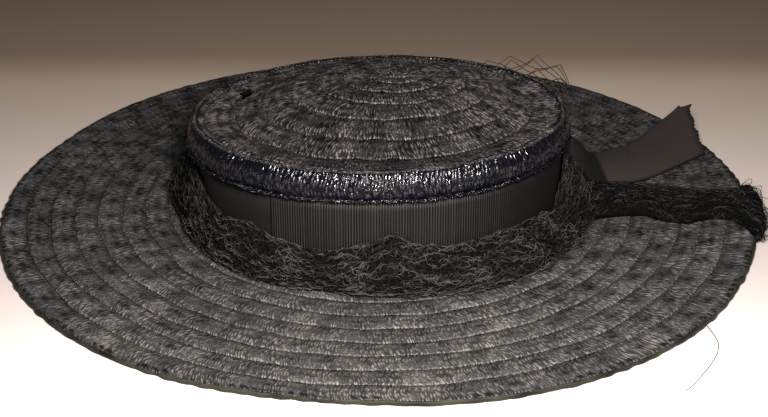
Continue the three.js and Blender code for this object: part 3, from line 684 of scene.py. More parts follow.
# Glossy side row: a wide rounded braid, and the thin turned edge below it
side = {
    "out": [-3.6, -3.1, -2.4, -1.7, -1.0, -0.3, 0.35, 0.95, 1.5, 1.9, 2.2, 2.3, 2.2, 1.9, 1.5, 1.0, 0.3,
            -0.6, -1.2, -1.9, -2.6, -3.4],
    "down": [1.0, 0.1, 0.0, 0.45, 1.1, 1.9, 2.8, 3.8, 5.0, 6.5, 8.2, 10.0, 11.4, 12.6, 13.4, 14.1, 14.4,
             14.2, 11.0, 7.5, 4.2, 2.2],
    "strand": 1.6, "uneven": 0.19,  # mm
    "slant": 0.25,  # straws that each one runs on from the middle to the edge
    "meanRadius": 97.6, "outStray": 0.25, "upStray": 0.3,  # mm
    "joins": 29, "sharp": 6, "joinWide": 0.2,  # joins round the row, power of the wave, share across
    "even": 0.7, "tone": 0.5, "joinShade": 0.2,
}
sideTurn = np.arange(8) * 2 * np.pi / 8
sideEdge = side | {
    "out": 1.4 - 1.1 * np.cos(sideTurn), "down": 14.5 - 1.0 * np.sin(sideTurn),
    "strand": 1.5, "uneven": 0.46, "slant": 0.3,
}


def sideRow(look, seed):
    # a closed row standing on edge: distance seam radius + out, height seam - down, each
    # straw and lane with its own stray and tilt
    chance = np.random.default_rng(seed)
    out, down = np.array(look["out"], float), np.array(look["down"], float)
    count = int(round(2 * np.pi * look["meanRadius"] / look["strand"]))
    i = np.arange(2 * count)[:, None] / 2
    share = np.clip((down - down.min()) / (down.max() - down.min()), 0, 1)
    angle = (i + look["slant"] * 2 * np.abs(2 * share - 1)) * 2 * np.pi / count
    lane = np.minimum((share * 4).astype(int), 3)
    straw = np.repeat(chance.normal(0, 1, (count, 4)), 2, axis=0)[:, lane]
    tilt = np.repeat(chance.normal(0, 1, (count, 4)), 2, axis=0)[:, lane] * (4 * i % 4 - 1) * 0.5
    drift = 2 * waves(angle, seed + 1, 4, 2, 9)
    patch = np.maximum(0, np.cos(angle * look["joins"] + drift)) ** look["sharp"]
    patch = patch * bell(share, 0.5, look["joinWide"])
    radius = hat["seamRadius"] + out + look["uneven"] * (straw + tilt) * (1 - look["even"] * patch)
    radius = radius + look["outStray"] * waves(angle, seed + 2, 5, 2, 12)
    x, y = radius * np.cos(angle), radius * np.sin(angle)
    z = hat["seamHeight"] - down + leanAt(x, y) + look["upStray"] * waves(angle, seed + 3, 5, 5, 21)
    tone = look["tone"] - look["joinShade"] * patch + 0 * z
    faces = gridFaces(2 * count, len(out), True, True)
    back = (np.arange(len(out)) > out.argmax()) * (np.gradient(down) < 0)
    places = braidPlaces(i, np.where(back, 2 - share, share), faces, count, seed)
    return np.stack([x, y, z], -1).reshape(-1, 3), [faces], tone.ravel(), places


sidePiece = braidPiece("sideBraid", [sideRow(side, 500), sideRow(sideEdge, 520)], glossStraw)
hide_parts("crown")

# Plain wall of the crown, behind the band and inside: rows standing on edge, the
# section of each one from its top down the outside and up the inside
plainWall = {
    "share": [0.0, 0.25, 0.5, 0.75, 1.0, 0.9, 0.5, 0.1],
    "thick": [-0.2, 0.0, 0.0, 0.0, -0.2, -1.5, -1.7, -1.5],
    "rows": 4, "foot": 2.3, "lap": 0.03, "uneven": 0.1, "inset": 0.1, "tone": 0.4,
    "meanRadius": 92,
}


def wallRow(seed, top, low):
    # heights between the brim and the side row, shared out by the row's place
    count = int(round(2 * np.pi * plainWall["meanRadius"] / braid["strand"] / 2))
    steps = 2 * count
    share, thick = np.array(plainWall["share"]), np.array(plainWall["thick"])
    i = np.arange(steps)[:, None]
    angle = (i + 2 * np.abs(2 * share - 1)) * 2 * np.pi / steps
    radius = hat["wallRadius"] - plainWall["inset"] + thick + plainWall["uneven"] * (1 - 2 * (i % 2))
    x, y = radius * np.cos(angle), radius * np.sin(angle)
    height = hat["seamHeight"] - hat["sideHeight"] + leanAt(x, y) - plainWall["foot"]
    lapped = share * (1 + 2 * plainWall["lap"]) - plainWall["lap"]
    z = plainWall["foot"] + height * (top + (low - top) * lapped)
    faces = gridFaces(steps, len(share), True, True)
    places = braidPlaces(i, np.where(thick < -1, 2 - share, share), faces, steps, seed)
    tone = plainWall["tone"] + 0 * z
    return np.stack([x, y, z], -1).reshape(-1, 3), [faces], tone.ravel(), places


wallShares = np.linspace(1, 0, plainWall["rows"] + 1)
wallRows = [wallRow(600 + k, wallShares[k], wallShares[k + 1]) for k in range(plainWall["rows"])]
wall = braidPiece("wallBraid", wallRows, brimStraw)
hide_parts("crown")
print("crown made", len(tip.data.polygons), len(sidePiece.data.polygons))

# Ribbon band

ribbon = {
    "rib": 1.32,  # mm from rib to rib
    "ribHeight": 0.2, "thick": 1.0, "foot": 2.3, "inset": 0.1,  # mm
    "wavy": 0.12, "topWavy": 0.25,  # mm that the face and the top edge stray
    # the fold: degrees, mm that the second layer stands out, and its edge's slant in degrees
    "foldTurn": -123.2, "foldArc": 40.0, "foldThick": 0.45, "foldThin": 0.12, "foldSlant": 1.2,
    # degrees where the ribs are pressed flat: past the end of the fold, and from one turn
    # onwards; the share of the ribs that is left there
    "plainPast": 27, "plainFrom": -52, "plainArc": 110, "plainEase": 7, "plainRibs": 0.1,
    # tones: least and most of a rib, the power of its painted light, flat places and the fold
    "ribTones": (0.6, 1.2), "ribLightSharp": 4, "plainTone": 0.12, "foldTone": 0.2,
    "paintedShadeFrom": 285, "paintedShadeOver": 20, "paintedShadeShare": 0.45,  # degrees, and the share lost to painted shade towards the right
}


def bandTopAt(x, y):
    # top edge of the band: just under the side row, leaning as the crown does
    return hat["seamHeight"] - hat["sideHeight"] - hat["gap"] + leanAt(x, y)


def makeBand():
    # closed ring: outer face in ribs, height from the brim to under the side row
    ribs = int(round(2 * np.pi * hat["bandOuter"] / ribbon["rib"]))
    steps = 4 * ribs
    share = np.concatenate([np.linspace(1, 0, 9), [0.0, 1.0]])
    inside = np.array([0.0] * 9 + [1.0, 1.0])
    i = np.arange(steps)[:, None]
    angle = i * 2 * np.pi / steps + 0 * share
    turn = np.degrees(angle)
    past = (ribbon["foldTurn"] % 360 - turn % 360) % 360
    ribbed = 1 - np.clip((ribbon["foldArc"] + ribbon["plainPast"] - past) / 2, 0, 1)
    since = (turn - ribbon["plainFrom"]) % 360
    ribbed = ribbed * (1 - np.clip(since / ribbon["plainEase"], 0, 1) * (since < ribbon["plainArc"]))
    standing = ribbon["plainRibs"] + (1 - ribbon["plainRibs"]) * ribbed
    wavy = ribbon["wavy"] * waves(angle + share * 0.2, 31, 5, 3, 17) * np.sin(np.pi * share)
    lift = (ribbon["ribHeight"] * np.cos(i * np.pi / 2) * standing + wavy) * (1 - inside)
    radius = hat["bandOuter"] - ribbon["thick"] * inside - ribbon["inset"] + lift
    x, y = radius * np.cos(angle), radius * np.sin(angle)
    dip = ribbon["topWavy"] * np.abs(waves(angle, 33, 5, 4, 19)) * (share == 1)
    z = ribbon["foot"] + share * (bandTopAt(x, y) - ribbon["foot"]) - dip
    own = np.repeat(np.random.default_rng(34).uniform(*ribbon["ribTones"], ribs), 4)[:, None]
    # painted shade on the right of the band
    paintedShadeFactor = 1 - ribbon["paintedShadeShare"] * np.clip((turn - ribbon["paintedShadeFrom"]) / ribbon["paintedShadeOver"], 0, 1)
    # painted light on the top of each rib
    crown = ((1 + np.cos(i * np.pi / 2)) / 2) ** ribbon["ribLightSharp"]
    tone = ribbed * own * paintedShadeFactor * crown + ribbon["plainTone"] * (1 - ribbed) + 0 * z
    faces = [gridFaces(steps, len(share), True, True)]
    return putMesh("bandRibbon", np.stack([x, y, z], -1), faces, grosgrain, {"tone": tone})


def makeFold():
    # second layer: outer face stands out most at the fold and dies away behind it
    steps, share = 120, np.array([1.0, 0.75, 0.5, 0.25, 0.0, 0.0, 1.0])
    inside = np.array([0, 0, 0, 0, 0, 1, 1])
    way = np.linspace(0, 1, steps)[:, None]
    slant = ribbon["foldSlant"] * (share - 0.5) * (1 - way)
    angle = np.radians(ribbon["foldTurn"] - ribbon["foldArc"] * way + slant)
    thick = ribbon["foldThin"] + ribbon["foldThick"] * (1 - way ** 2) * np.minimum(1, way * 60 + 0.5)
    radius = hat["bandOuter"] - 0.05 + thick * (1 - inside) - 0.1 * inside
    x, y = radius * np.cos(angle), radius * np.sin(angle)
    z = ribbon["foot"] + share * (bandTopAt(x, y) - ribbon["foot"] - 0.1)
    faces = [gridFaces(steps, 7, False, True)[:, ::-1]]
    cap = np.array([[0, 1, 6], [1, 2, 6], [2, 3, 6], [3, 4, 6], [4, 5, 6]])
    faces += [cap[:, ::-1], cap + (steps - 1) * 7]
    tone = ribbon["foldTone"] + 0 * z
    return putMesh("bandFold", np.stack([x, y, z], -1), faces, grosgrain, {"tone": tone})


for piece in (makeBand(), makeFold()):
    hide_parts("band")
print("band made")

# Gathered net

net = {
    "width": 16.0,
    # round the hat in degrees: shares of that width, and of the height up to the band's top
    "turn": [1, -6, -13, -25, -40, -60, -70, -80, -86, -94, -102, -112, -122, -130, -142, -152, -164,
             -178, -194, -230, -270, -310, -338],
    "wide": [1.15, 1.2, 1.25, 1.08, 1.18, 1.24, 1.07, 1.0, 0.92, 0.89, 0.76, 0.79, 0.93, 0.86, 0.82, 0.66,
             0.6, 0.78, 1.02, 0.84, 0.78, 0.62, 0.8],
    "high": [0.45, 0.84, 0.6, 0.28, 0.4, 0.41, 0.39, 0.46, 0.62, 0.48, 0.38, 0.38, 0.42, 0.54, 0.45, 0.57,
             0.78, 0.82, 0.76, 0.72, 0.74, 0.7, 0.5],
    # the section from the brim to the top: shares of the width and of the height
    "out": [0.93, 1.0, 0.84, 0.5, 0.17, 0.0], "up": [0.0, 0.14, 0.42, 0.72, 1.0, 1.0],
    "folds": 7.5,  # across the section
    "drift": 0.55, "quiver": 0.3,  # folds that they stray by in long waves and in short ones
    "foldHeight": 1.7, "crumple": 0.5, "pucker": 0.6, "ground": 0.4,  # mm, also from threads to ground
    "thread": 0.165, "above": 0.12, "loop": 2.6,  # mm: radius, over the folds, and longest loop
    "threads": 3700, "runs": (3, 11),  # number of threads, and mm from the shortest to the longest
    # tones: painted shade in the hollows of the ground and paler tops, the power of the threads' chance, and
    # a level with painted light at the front and painted shade at the back
    "paintedDeepShade": 0.45, "topTone": 0.5, "threadTones": 1.1, "worn": 0.46, "paintedFrontLight": 0.54,
}


def wrapAt(turn, across, relief):
    # point of the gathered net at a turn in degrees (1 to -338) and across its section,
    # 0 at the brim and 1 at the top, standing out by relief mm
    order = np.argsort(net["turn"])
    turns = np.array(net["turn"])[order]
    wide, high = (smoothCurve(turn, turns, np.array(net[key])[order], 3) for key in ("wide", "high"))
    angle = np.radians(turn)
    ends = np.linspace(0, 1, len(net["out"]))
    out, up = (smoothCurve(across, ends, net[key], 0.08) for key in ("out", "up"))
    tilt = np.pi / 2 * across
    foot = hat["wall"] + hat["lap"] + 0.1
    radius = hat["wrapInner"] + out * wide * net["width"] + relief * np.cos(tilt)
    x, y = radius * np.cos(angle), radius * np.sin(angle)
    z = foot + up * high * (bandTopAt(x, y) - foot) + relief * np.sin(tilt)
    return np.stack(np.broadcast_arrays(x, y, np.maximum(z, foot - 0.3)), -1)


def wrapRelief(turn, across):
    # folds like loose strands round the crown, drifting up and down, with crumples on them
    along = np.radians(turn) * 100
    lanes = across * net["folds"] + net["drift"] * wander(along, 41, 45)
    lanes = lanes + net["quiver"] * wander(along, 42, 13)
    rope = net["foldHeight"] * np.abs(np.sin(np.pi * lanes)) - 1.0
    crumple = net["crumple"] * wander(along + 9 * across, 43, 7) * wander(across * 30 + along * 0.2, 44, 9)
    pucker = net["pucker"] * wander(along + 14 * across, 45, 24)
    return (rope + crumple + pucker) * np.clip((1.02 - across) * 6, 0.15, 1)


def inCrease(relief, low, high):
    # 0 deep in the folds to 1 on top of them, for the painted shade in the folds
    return np.clip((relief - low) / (high - low), 0, 1)


def cornerPlaces(places, faceSets):
    # u and v of every corner from those of the points
    places = places.reshape(-1, 2)
    return np.concatenate([places[faces].reshape(-1, 2) for faces in faceSets])


def makeWrapBase():
    # the folded ground of the net: its outer face, and one line of points at its foot
    # inside that closes it
    steps, columns = 520, 30
    turn = np.linspace(1, -338, steps)[:, None]
    across = np.linspace(0, 1, columns)[None]
    folds = wrapRelief(turn, across)
    outer = wrapAt(turn, across, folds - net["ground"])
    angle = np.radians(turn)
    radius = hat["wrapInner"] - 0.1 + 0 * turn
    foot = np.stack([radius * np.cos(angle), radius * np.sin(angle), 0 * turn + hat["wall"] + 0.7], -1)
    points = np.concatenate([outer, foot], 1)
    faces = gridFaces(steps, columns + 1, False, True)
    cap = np.stack([np.zeros(columns - 1, int) + columns, np.arange(columns - 1), np.arange(1, columns)], 1)
    faceSets = [faces, cap[:, ::-1], cap + (steps - 1) * (columns + 1)]
    # u and v in mm along and across, for the meshes of the net
    across = np.append(across[0], 0.0)[None]
    places = np.stack([angle * 105 + 0 * across, across * 32 + 0 * angle], -1)
    # painted shade: darker deep in the folds and paler on their tops
    tone = np.append(net["topTone"] * inCrease(folds, -0.9, 0.9), 0 * turn, 1) - net["paintedDeepShade"]
    places = cornerPlaces(places, faceSets)
    return putMesh("netWrapFolds", points, faceSets, netShadow, {"tone": tone}, places)


def makeWrapThreads(seed):
    # short curly runs of thread that lie along the gathered net
    chance = np.random.default_rng(seed)
    count, k = net["threads"], 8
    start = chance.uniform(-337, 0, count)[:, None]
    lane = chance.beta(1.0, 1.1, count)[:, None]
    way = np.linspace(-0.5, 0.5, k)[None]
    length = chance.uniform(*net["runs"], count)[:, None]
    turn = start + way * length / 108 * 57.3
    climb = chance.normal(0, 0.04, count)[:, None]
    curl = chance.uniform(0.4, 1.5, count)[:, None]
    phase = chance.uniform(0, 6.28, count)[:, None]
    across = np.clip(lane + climb * way * 2 + 0.02 * curl * np.sin(way * 9 * curl + phase), 0.01, 0.99)
    turn = np.clip(turn + 0.3 * curl * np.cos(way * 7 * curl + phase * 2), -337.8, 0.8)
    folds = wrapRelief(turn, across)
    loops = net["loop"] * chance.uniform(0, 1, count)[:, None] ** 8 * np.cos(np.pi * way) * np.sin(phase)
    relief = folds + net["above"] + 0.35 * np.abs(np.sin(way * 8 + phase)) + np.abs(loops)
    angle = np.radians(turn)
    normals = np.stack([np.cos(angle), np.sin(angle), 0.8 + 0 * angle], -1)
    points, faceSets = tubes(wrapAt(turn, across, relief), net["thread"], normals)
    tones = threadTones(inCrease(folds, -0.9, 0.9), seed + 1, net["threadTones"])
    # painted light at the front and painted shade at the back
    tones["tone"] = tones["tone"] * (net["worn"] + net["paintedFrontLight"] * np.clip(-points[:, 1] / 60, -1, 1))
    return putMesh("netWrapThreads", points, faceSets, netThread, tones)


for piece in (makeWrapBase(), makeWrapThreads(81)):
    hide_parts("net_wrap")
print("net wrap made", len(piece.data.polygons))

# Bundle of the net over the brim and down past its edge
bundle = {
    "width": 30.0, "thick": 7.0,  # mm for a share of 1 in the table
    "foot": 111, "hangLow": 1.4,  # mm from the middle of the hat, and over the floor
    # along the bundle: its middle and its half width, as shares of the width, and its height
    "way": [0.0, 0.12, 0.3, 0.46, 0.58, 0.72, 0.86, 0.95, 1.0],
    "side": [-0.38, -0.36, -0.36, -0.5, -0.56, -0.56, -0.62, -0.68, -0.74],
    "half": [0.58, 0.5, 0.46, 0.6, 0.6, 0.45, 0.42, 0.72, 1.0],
    "high": [1.2, 1.1, 1.0, 0.9, 0.85, 0.85, 0.9, 0.8, 0.62],
    "hang": 0.25,  # share of the way that hangs down past the edge
    "folds": 4.5, "drift": 0.4, "quiver": 0.2, "foldHeight": 1.7, "crumple": 0.4,
    "thread": 0.16, "above": 0.35, "loop": 1, "endLoop": 4,  # mm: radius, over the folds, loops
    # tones: painted shade deep in the folds and on the lower face, paler tops, and the power of the threads'
    # chance
    "threads": 1300, "paintedDeepShade": 0.85, "topTone": 0.4, "threadTones": 6.0,
}


def bundleStart(y):
    # where the bundle leaves the gathered net, for a place y across it
    return np.cos(np.arctan2(y, bundle["foot"])) * (hat["wrapInner"] + 1.15 * net["width"])


def bundleEdge(y):
    # where it passes the edge of the brim
    edge = brimEdgeAt(np.arcsin(np.clip(y / hat["brimRadius"], -1, 1)))
    return np.sqrt(edge ** 2 - y ** 2)


def bundleAt(way, lane, relief):
    # way 0 at the crown, 1 at the edge of the brim, 1.25 at the end hanging down;
    # lane -1 to 1 across; the height is a share of the thickness times 1 - lane^4
    reach = np.minimum(way, 1.0)
    side, half, high = (smoothCurve(reach, bundle["way"], bundle[key], 0.04)
                        for key in ("side", "half", "high"))
    drop = np.clip((way - 1.0) / bundle["hang"], 0, 1)
    half = half * (1 + 0.03 * np.sin(3 * drop) - 0.12 * drop ** 3)
    side = side - 0.1 * drop
    y = bundle["width"] * (side + half * lane)
    startX = bundleStart(y)
    x = startX + reach * (bundleEdge(y) - startX)
    rest = restAt(x, y)
    full = bundle["thick"] * high * (1 - 0.35 * drop) * (1 - lane ** 4) + relief
    bend = np.clip((way - 0.97) / 0.12, 0, 1) * np.pi / 2
    z = rest + full * np.cos(bend) - drop * (rest - bundle["hangLow"])
    x = x + full * np.sin(bend) + 0.4 * (way > 1)
    return np.stack(np.broadcast_arrays(x, y, np.maximum(z, 0.5)), -1)


def bundleRelief(way, lane):
    # folds along the bundle that drift to and fro, crumpled less towards its sides
    along = way * 90
    lanes = lane * bundle["folds"] + bundle["drift"] * wander(along, 61, 35)
    lanes = lanes + bundle["quiver"] * wander(along, 62, 11)
    crumple = bundle["crumple"] * wander(along + 6 * lane, 63, 6) * (1 - lane ** 2)
    return bundle["foldHeight"] * np.abs(np.sin(np.pi * lanes)) - 1.1 + crumple


def makeBundleBase():
    # the folded ground of the bundle: the upper face and the lower one that rests on the
    # brim, as one closed skin
    steps, columns = 110, 28
    way = np.linspace(0, 1 + bundle["hang"], steps)[:, None]
    lane = np.linspace(1, -1, columns)[None]
    folds = bundleRelief(way, lane)
    upper = bundleAt(way, lane, folds * (1 - lane ** 4) + 0.1)
    inner = lane[:, ::-1][:, 1:-1]
    y = bundleAt(way, inner, 0.0)[..., 1]
    drop = np.clip((way - 1.0) / bundle["hang"], 0, 1)
    startX = bundleStart(y)
    lowX = startX + np.minimum(way, 1) * (bundleEdge(y) - startX) + 0.3 * (way > 1)
    lowZ = restAt(lowX, y) * (1 - drop) + bundle["hangLow"] * drop
    points = np.concatenate([upper, np.stack([lowX, y, lowZ], -1)], 1)
    total = points.shape[1]
    faces = gridFaces(steps, total, False, True)[:, ::-1]
    cap = np.stack([np.zeros(total - 2, int), np.arange(1, total - 1), np.arange(2, total)], 1)
    faceSets = [faces, cap, cap[:, ::-1] + (steps - 1) * total]
    lanes = np.concatenate([lane, inner], 1)
    places = np.stack([way * 92 + 0 * lanes, lanes * 16 + 0 * way], -1)
    # painted shade: darker deep in the folds and on the lower face that rests on the brim, paler on the tops
    tone = np.concatenate([bundle["topTone"] * inCrease(folds, -0.6, 0.8), 0 * y], 1) - bundle["paintedDeepShade"]
    places = cornerPlaces(places, faceSets)
    return putMesh("netTailFolds", points, faceSets, netShadow, {"tone": tone}, places)


def makeBundleThreads(seed):
    # threads along the bundle, longer than those of the wrap, in loops at its end
    chance = np.random.default_rng(seed)
    count, k = bundle["threads"], 11
    start = chance.uniform(0, 1.2, count)[:, None]
    lane = chance.uniform(-0.97, 0.97, count)[:, None]
    way = np.linspace(-0.5, 0.5, k)[None]
    length = chance.uniform(0.05, 0.2, count)[:, None]
    phase = chance.uniform(0, 6.28, count)[:, None]
    run = np.clip(start + way * length, 0.0, 1 + bundle["hang"])
    curl = chance.uniform(0.3, 1.3, count)[:, None]
    across = np.clip(lane + 0.05 * curl * np.sin(way * 8 * curl + phase), -1, 1)
    folds = bundleRelief(run, across)
    loops = bundle["loop"] + bundle["endLoop"] * (run > 0.97)
    loops = loops * chance.uniform(0, 1, count)[:, None] ** 6 * np.cos(np.pi * way)
    relief = folds * (1 - across ** 4) + bundle["above"] + 0.4 * np.abs(np.sin(way * 7 + phase)) + loops
    lines = bundleAt(run, across, relief)
    normals = np.zeros_like(lines)
    normals[..., 2] = 1.0
    normals[..., 0] = np.clip((run - 0.95) * 10, 0, 3)
    # painted shade on the threads deep in the folds
    tones = threadTones(inCrease(folds, -0.5, 0.8), seed + 1, bundle["threadTones"])
    return putMesh("netTailThreads", *tubes(lines, bundle["thread"], normals), tailThread, tones)


for piece in (makeBundleBase(), makeBundleThreads(91)):
    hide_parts("net_tail")
print("net tail made")

# Open net standing behind the crown
crest = {
    "start": 60.6, "end": 33.0, "near": 106.5, "far": 127.0, "high": 47.0,  # degrees, then mm
    "columns": 5, "rows": 5, "thread": 0.25,  # meshes along and up, and radius in mm
    "stray": 0.014, "sag": 0.006,  # shares of the whole that knots stray and sides hang
    "even": [0, 0.1, 0.3, 0.5, 0.7, 0.9, 1],
    "drawn": [0, 0.06, 0.2, 0.42, 0.66, 0.86, 1],  # the meshes are drawn out by different amounts
    "bends": [(2.2, 7, 3), (1.5, 13, -4)],  # mm at the top, and radians along it and up it
    "peaks": [0, 0.1, 0.2, 0.42, 0.66, 0.86, 1.0],
    "tall": [0.45, 0.75, 0.9, 0.93, 1.0, 0.92, 0.76],
    "doubleFrom": 0.28, "doubleOver": 0.68, "doubleDrop": 0.03,  # the net is folded double at the right
}


def crestAt(along, up):
    # along 0 to 1 from the back to the right, up 0 to 1, bent to its line and crumpled
    along = np.interp(along, crest["even"], crest["drawn"])
    angle = np.radians(crest["start"] + (crest["end"] - crest["start"]) * along)
    radius = crest["near"] + (crest["far"] - crest["near"]) * along
    for size, alongRate, upRate in crest["bends"]:
        radius = radius + size * np.sin(alongRate * along + upRate * up) * up
    tall = np.interp(along, crest["peaks"], crest["tall"])
    x, y = radius * np.cos(angle), radius * np.sin(angle)
    z = restAt(x, y) + crest["high"] * up * tall
    return np.stack(np.broadcast_arrays(x, y, z), -1)


def makeCrest(seed):
    # diamonds of thread: each side sags a little between knots that stray from their place
    columns, rows = 2 * crest["columns"], 2 * crest["rows"] + 1
    way = np.linspace(0, 1, 7)
    stray = np.random.default_rng(seed).normal(0, crest["stray"], (rows + 1, columns + 1, 2))
    stray[0] = 0
    lines = []
    for row in range(rows):
        for column in range(columns):
            left = (row + column) % 2
            right = 1 - left
            low = np.array([(column + left) / columns, row / rows]) + stray[row, column + left]
            high = np.array([(column + right) / columns, (row + 1) / rows]) + stray[row + 1, column + right]
            along = low[0] + (high[0] - low[0]) * way
            up = low[1] + (high[1] - low[1]) * way - crest["sag"] * np.sin(np.pi * way) * (row > 0)
            lines.append(crestAt(np.clip(along, 0, 1), up))
            if 3 * column > columns and row > crest["rows"]:
                along = np.clip(crest["doubleFrom"] + crest["doubleOver"] * along ** 1.6, 0, 1)
                lines.append(crestAt(along, up * 0.98 - crest["doubleDrop"]))
    lines = np.array(lines)
    normals = np.zeros_like(lines)
    normals[..., :2] = lines[..., :2] / 110
    return putMesh("netCrestThreads", *tubes(lines, crest["thread"], normals, 5), crestThread)


crestPiece = makeCrest(95)
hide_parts("net_crest")
print("net crest made")

# Loose end of the ribbon

# Both edges are read along the strip: out from the band and aside as shares of the brim
# and of the sweep, and rise as a share of the band's height.
tail = {
    "sweep": 80.0, "camber": 2.2, "thick": 0.8, "above": 0.5,
    "frontOut": [0.0, 0.082, 0.162, 0.228, 0.276, 0.332, 0.407, 0.505, 0.652, 0.868],
    "frontSide": [0.088, 0.062, 0.075, 0.112, 0.155, 0.169, 0.165, 0.225, 0.38, 0.612],
    "frontRise": [0.04, 0.02, 0.01, 0, 0, 0, 0, 0, 0, 0],
    "backOut": [0.0, 0.057, 0.112, 0.162, 0.216, 0.292, 0.397, 0.493, 0.635, 0.8],
    "backSide": [0.125, 0.062, 0.175, 0.325, 0.45, 0.512, 0.57, 0.62, 0.81, 1.0],
    "backRise": [0.95, 0.86, 0.66, 0.36, 0.185, 0.165, 0.18, 0.26, 0.38, 0.53],
    "tornAt": [0, 0.12, 0.25, 0.4, 0.5, 0.62, 0.75, 0.85, 0.9, 0.94, 1],
    "torn": [0.0, 0.03, -0.02, 0.02, -0.03, 0.02, -0.01, 0.01, 0.1, -0.14, -0.2],
    "tornFrom": 0.93, "frayed": 0.012,
    "bend": 0.444,  # share of the way where the strip leans over
    "rib": 1.15,  # mm
    # tones: painted shade on the upright start and how much paler its back edge is, painted light on
    # the rest and how much painted shade darkens its far back corner, painted light on the ribs
    # and painted shade in the crease
    "shadeTone": 0.05, "shadeBack": 0.12, "litTone": 0.95, "litBack": 0.3, "ribLightTone": 0.07,
    "crease": 0.64, "creaseWide": 0.012, "slant": 0.05, "creaseTone": 0.18,
    "sideDark": 0.05, "endDark": 0.03,  # shares of the width and of the way over which the front edge has painted shade and the torn end darkens
}


def tailTone(middle, way, share):
    # painted shade on the upright start and painted light on the rest, painted light on the ribs, painted
    # shade along the front edge and in a crease across the middle, darker towards the torn end
    run = np.cumsum(np.linalg.norm(np.gradient(middle[:, middle.shape[1] // 2], axis=0), axis=1))[:, None]
    lit = np.clip((way - tail["bend"] + 0.015 + tail["slant"] * np.sin(np.pi * share)) / 0.035, 0, 1)
    shaded = tail["shadeTone"] + tail["shadeBack"] * share * (1 - lit)
    tone = shaded + lit * (tail["litTone"] - tail["litBack"] * way * share)
    tone = tone + tail["ribLightTone"] * np.cos(run * 2 * np.pi / tail["rib"]) * lit
    crease = bell(way, tail["crease"] + tail["slant"] * share, tail["creaseWide"])
    tone = tone - tail["creaseTone"] * crease * np.clip(share * 2 - 0.5, 0, 1)
    return tone * np.clip(share / tail["sideDark"], 0.1, 1) * np.clip((1 - way) / tail["endDark"], 0.1, 1)


def makeRibbonTail():
    # a strip between two edges: straight across with a slight hollow, torn at its end
    steps, columns = 360, 41
    start = hat["bandOuter"] + hat["gap"] + 0.5
    tall = bandTopAt(hat["wallRadius"], 0) - hat["wall"] - hat["lap"] - 2 * hat["gap"]
    knots = np.linspace(0, 1, 10)
    way = np.linspace(0, 1, steps)
    share = np.linspace(0, 1, columns)

    def edge(name):
        # a line in space from three columns of the table
        out, aside, rise = (smoothCurve(way, knots, tail[name + key], 0.06)
                            for key in ("Out", "Side", "Rise"))
        x, y = start + out * (hat["brimRadius"] - start), aside * tail["sweep"]
        return np.stack([x, y, restAt(x, y) + tail["above"] + rise * tall], -1)
    front, back = edge("front"), edge("back")
    along = unit(np.gradient(front, axis=0) + np.gradient(back, axis=0))
    hollow = unit(np.cross(back - front, along))
    part = share[None, :, None]
    arch = 4 * part * (1 - part) * np.sin(np.pi * way)[:, None, None]
    middle = front[:, None] + part * (back - front)[:, None]
    middle = middle - tail["camber"] * arch * hollow[:, None]
    torn = np.interp(share, tail["tornAt"], tail["torn"]) + tail["frayed"] * np.sin(np.arange(columns) * 2.4)
    late = np.clip((way - tail["tornFrom"]) / (1 - tail["tornFrom"]), 0, 1)[:, None, None]
    middle = middle + late * torn[None, :, None] * tall * along[:, None]
    normal = unit(np.cross(np.gradient(middle, axis=1), np.gradient(middle, axis=0)))
    upper = middle + normal * tail["thick"] / 2
    lower = (middle - normal * tail["thick"] / 2)[:, ::-1]
    points = np.concatenate([upper, lower], 1)
    total = 2 * columns
    faces = gridFaces(steps, total, False, True)
    pairs = np.arange(columns - 1)
    cap = np.stack([pairs, pairs + 1, total - 2 - pairs, total - 1 - pairs], 1)
    tone = tailTone(middle, way[:, None], share[None])
    # the lower face has painted shade at half the tone
    tone = np.concatenate([tone, tone[:, ::-1] * 0.5], 1)
    faceSets = [faces, cap[:, ::-1], cap + (steps - 1) * total]
    return putMesh("ribbonTail", points, faceSets, fadedRibbon, {"tone": tone})


tailPiece = makeRibbonTail()
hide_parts("ribbon_tail")
print("ribbon end made")

# One loose thread that lies on the floor off the right front of the brim
loose = {
    "x": [147.6, 150.6, 151.6, 149.5, 146.1, 142.0, 138.1, 134.5, 129.8],
    "y": [-126.0, -136.0, -145.0, -153.0, -160.0, -167.0, -172.9, -178.6, -183.9],
    "z": [1.0, 0.3, 0.25, 0.25, 0.25, 0.25, 0.25, 0.25, 0.25],
    "thick": 0.36,
}


def makeLooseThread():
    # a curve with a round section through the points of the table, its corners rounded
    curve = bpy.data.curves.new("looseThread", "CURVE")
    curve.dimensions = "3D"
    curve.bevel_depth = loose["thick"] / 2000
    spline = curve.splines.new("POLY")
    knots = np.arange(len(loose["x"]))
    run = np.linspace(0, knots[-1], 60)
    route = np.stack([smoothCurve(run, knots, loose[key], 0.6) for key in ("x", "y", "z")], 1)
    route = route / 1000 + axisPoint
    spline.points.add(len(route) - 1)
    spline.points.foreach_set("co", np.concatenate([route, np.ones((len(route), 1))], 1).ravel())
    curve.materials.append(crestThread)
    piece = bpy.data.objects.new("looseThread", curve)
    bpy.context.scene.collection.objects.link(piece)
    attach(piece, "root")


makeLooseThread()
print("thread made")

# Floor, light, camera

stage = {
    "low": (-4, -4), "high": (4, 6),  # corners of the floor, metres
    "reach": [-0.2, 0.4],  # metres away from the hat's middle over which the floor darkens with painted shade
    "places": [0.0, 0.1, 0.16, 0.2, 0.364, 0.45, 0.55, 0.61, 0.65, 0.69, 1.0],
    "tintsWithPaintedShade": ["#d2cac4", "#c9bfba", "#c2b6b2", "#bcb1ad", "#b4a8a2", "#aea299", "#a7998d", "#a39485",
              "#928271", "#7d6d5f", "#75675a"],
    "rough": 0.9, "shine": 0.2,
}
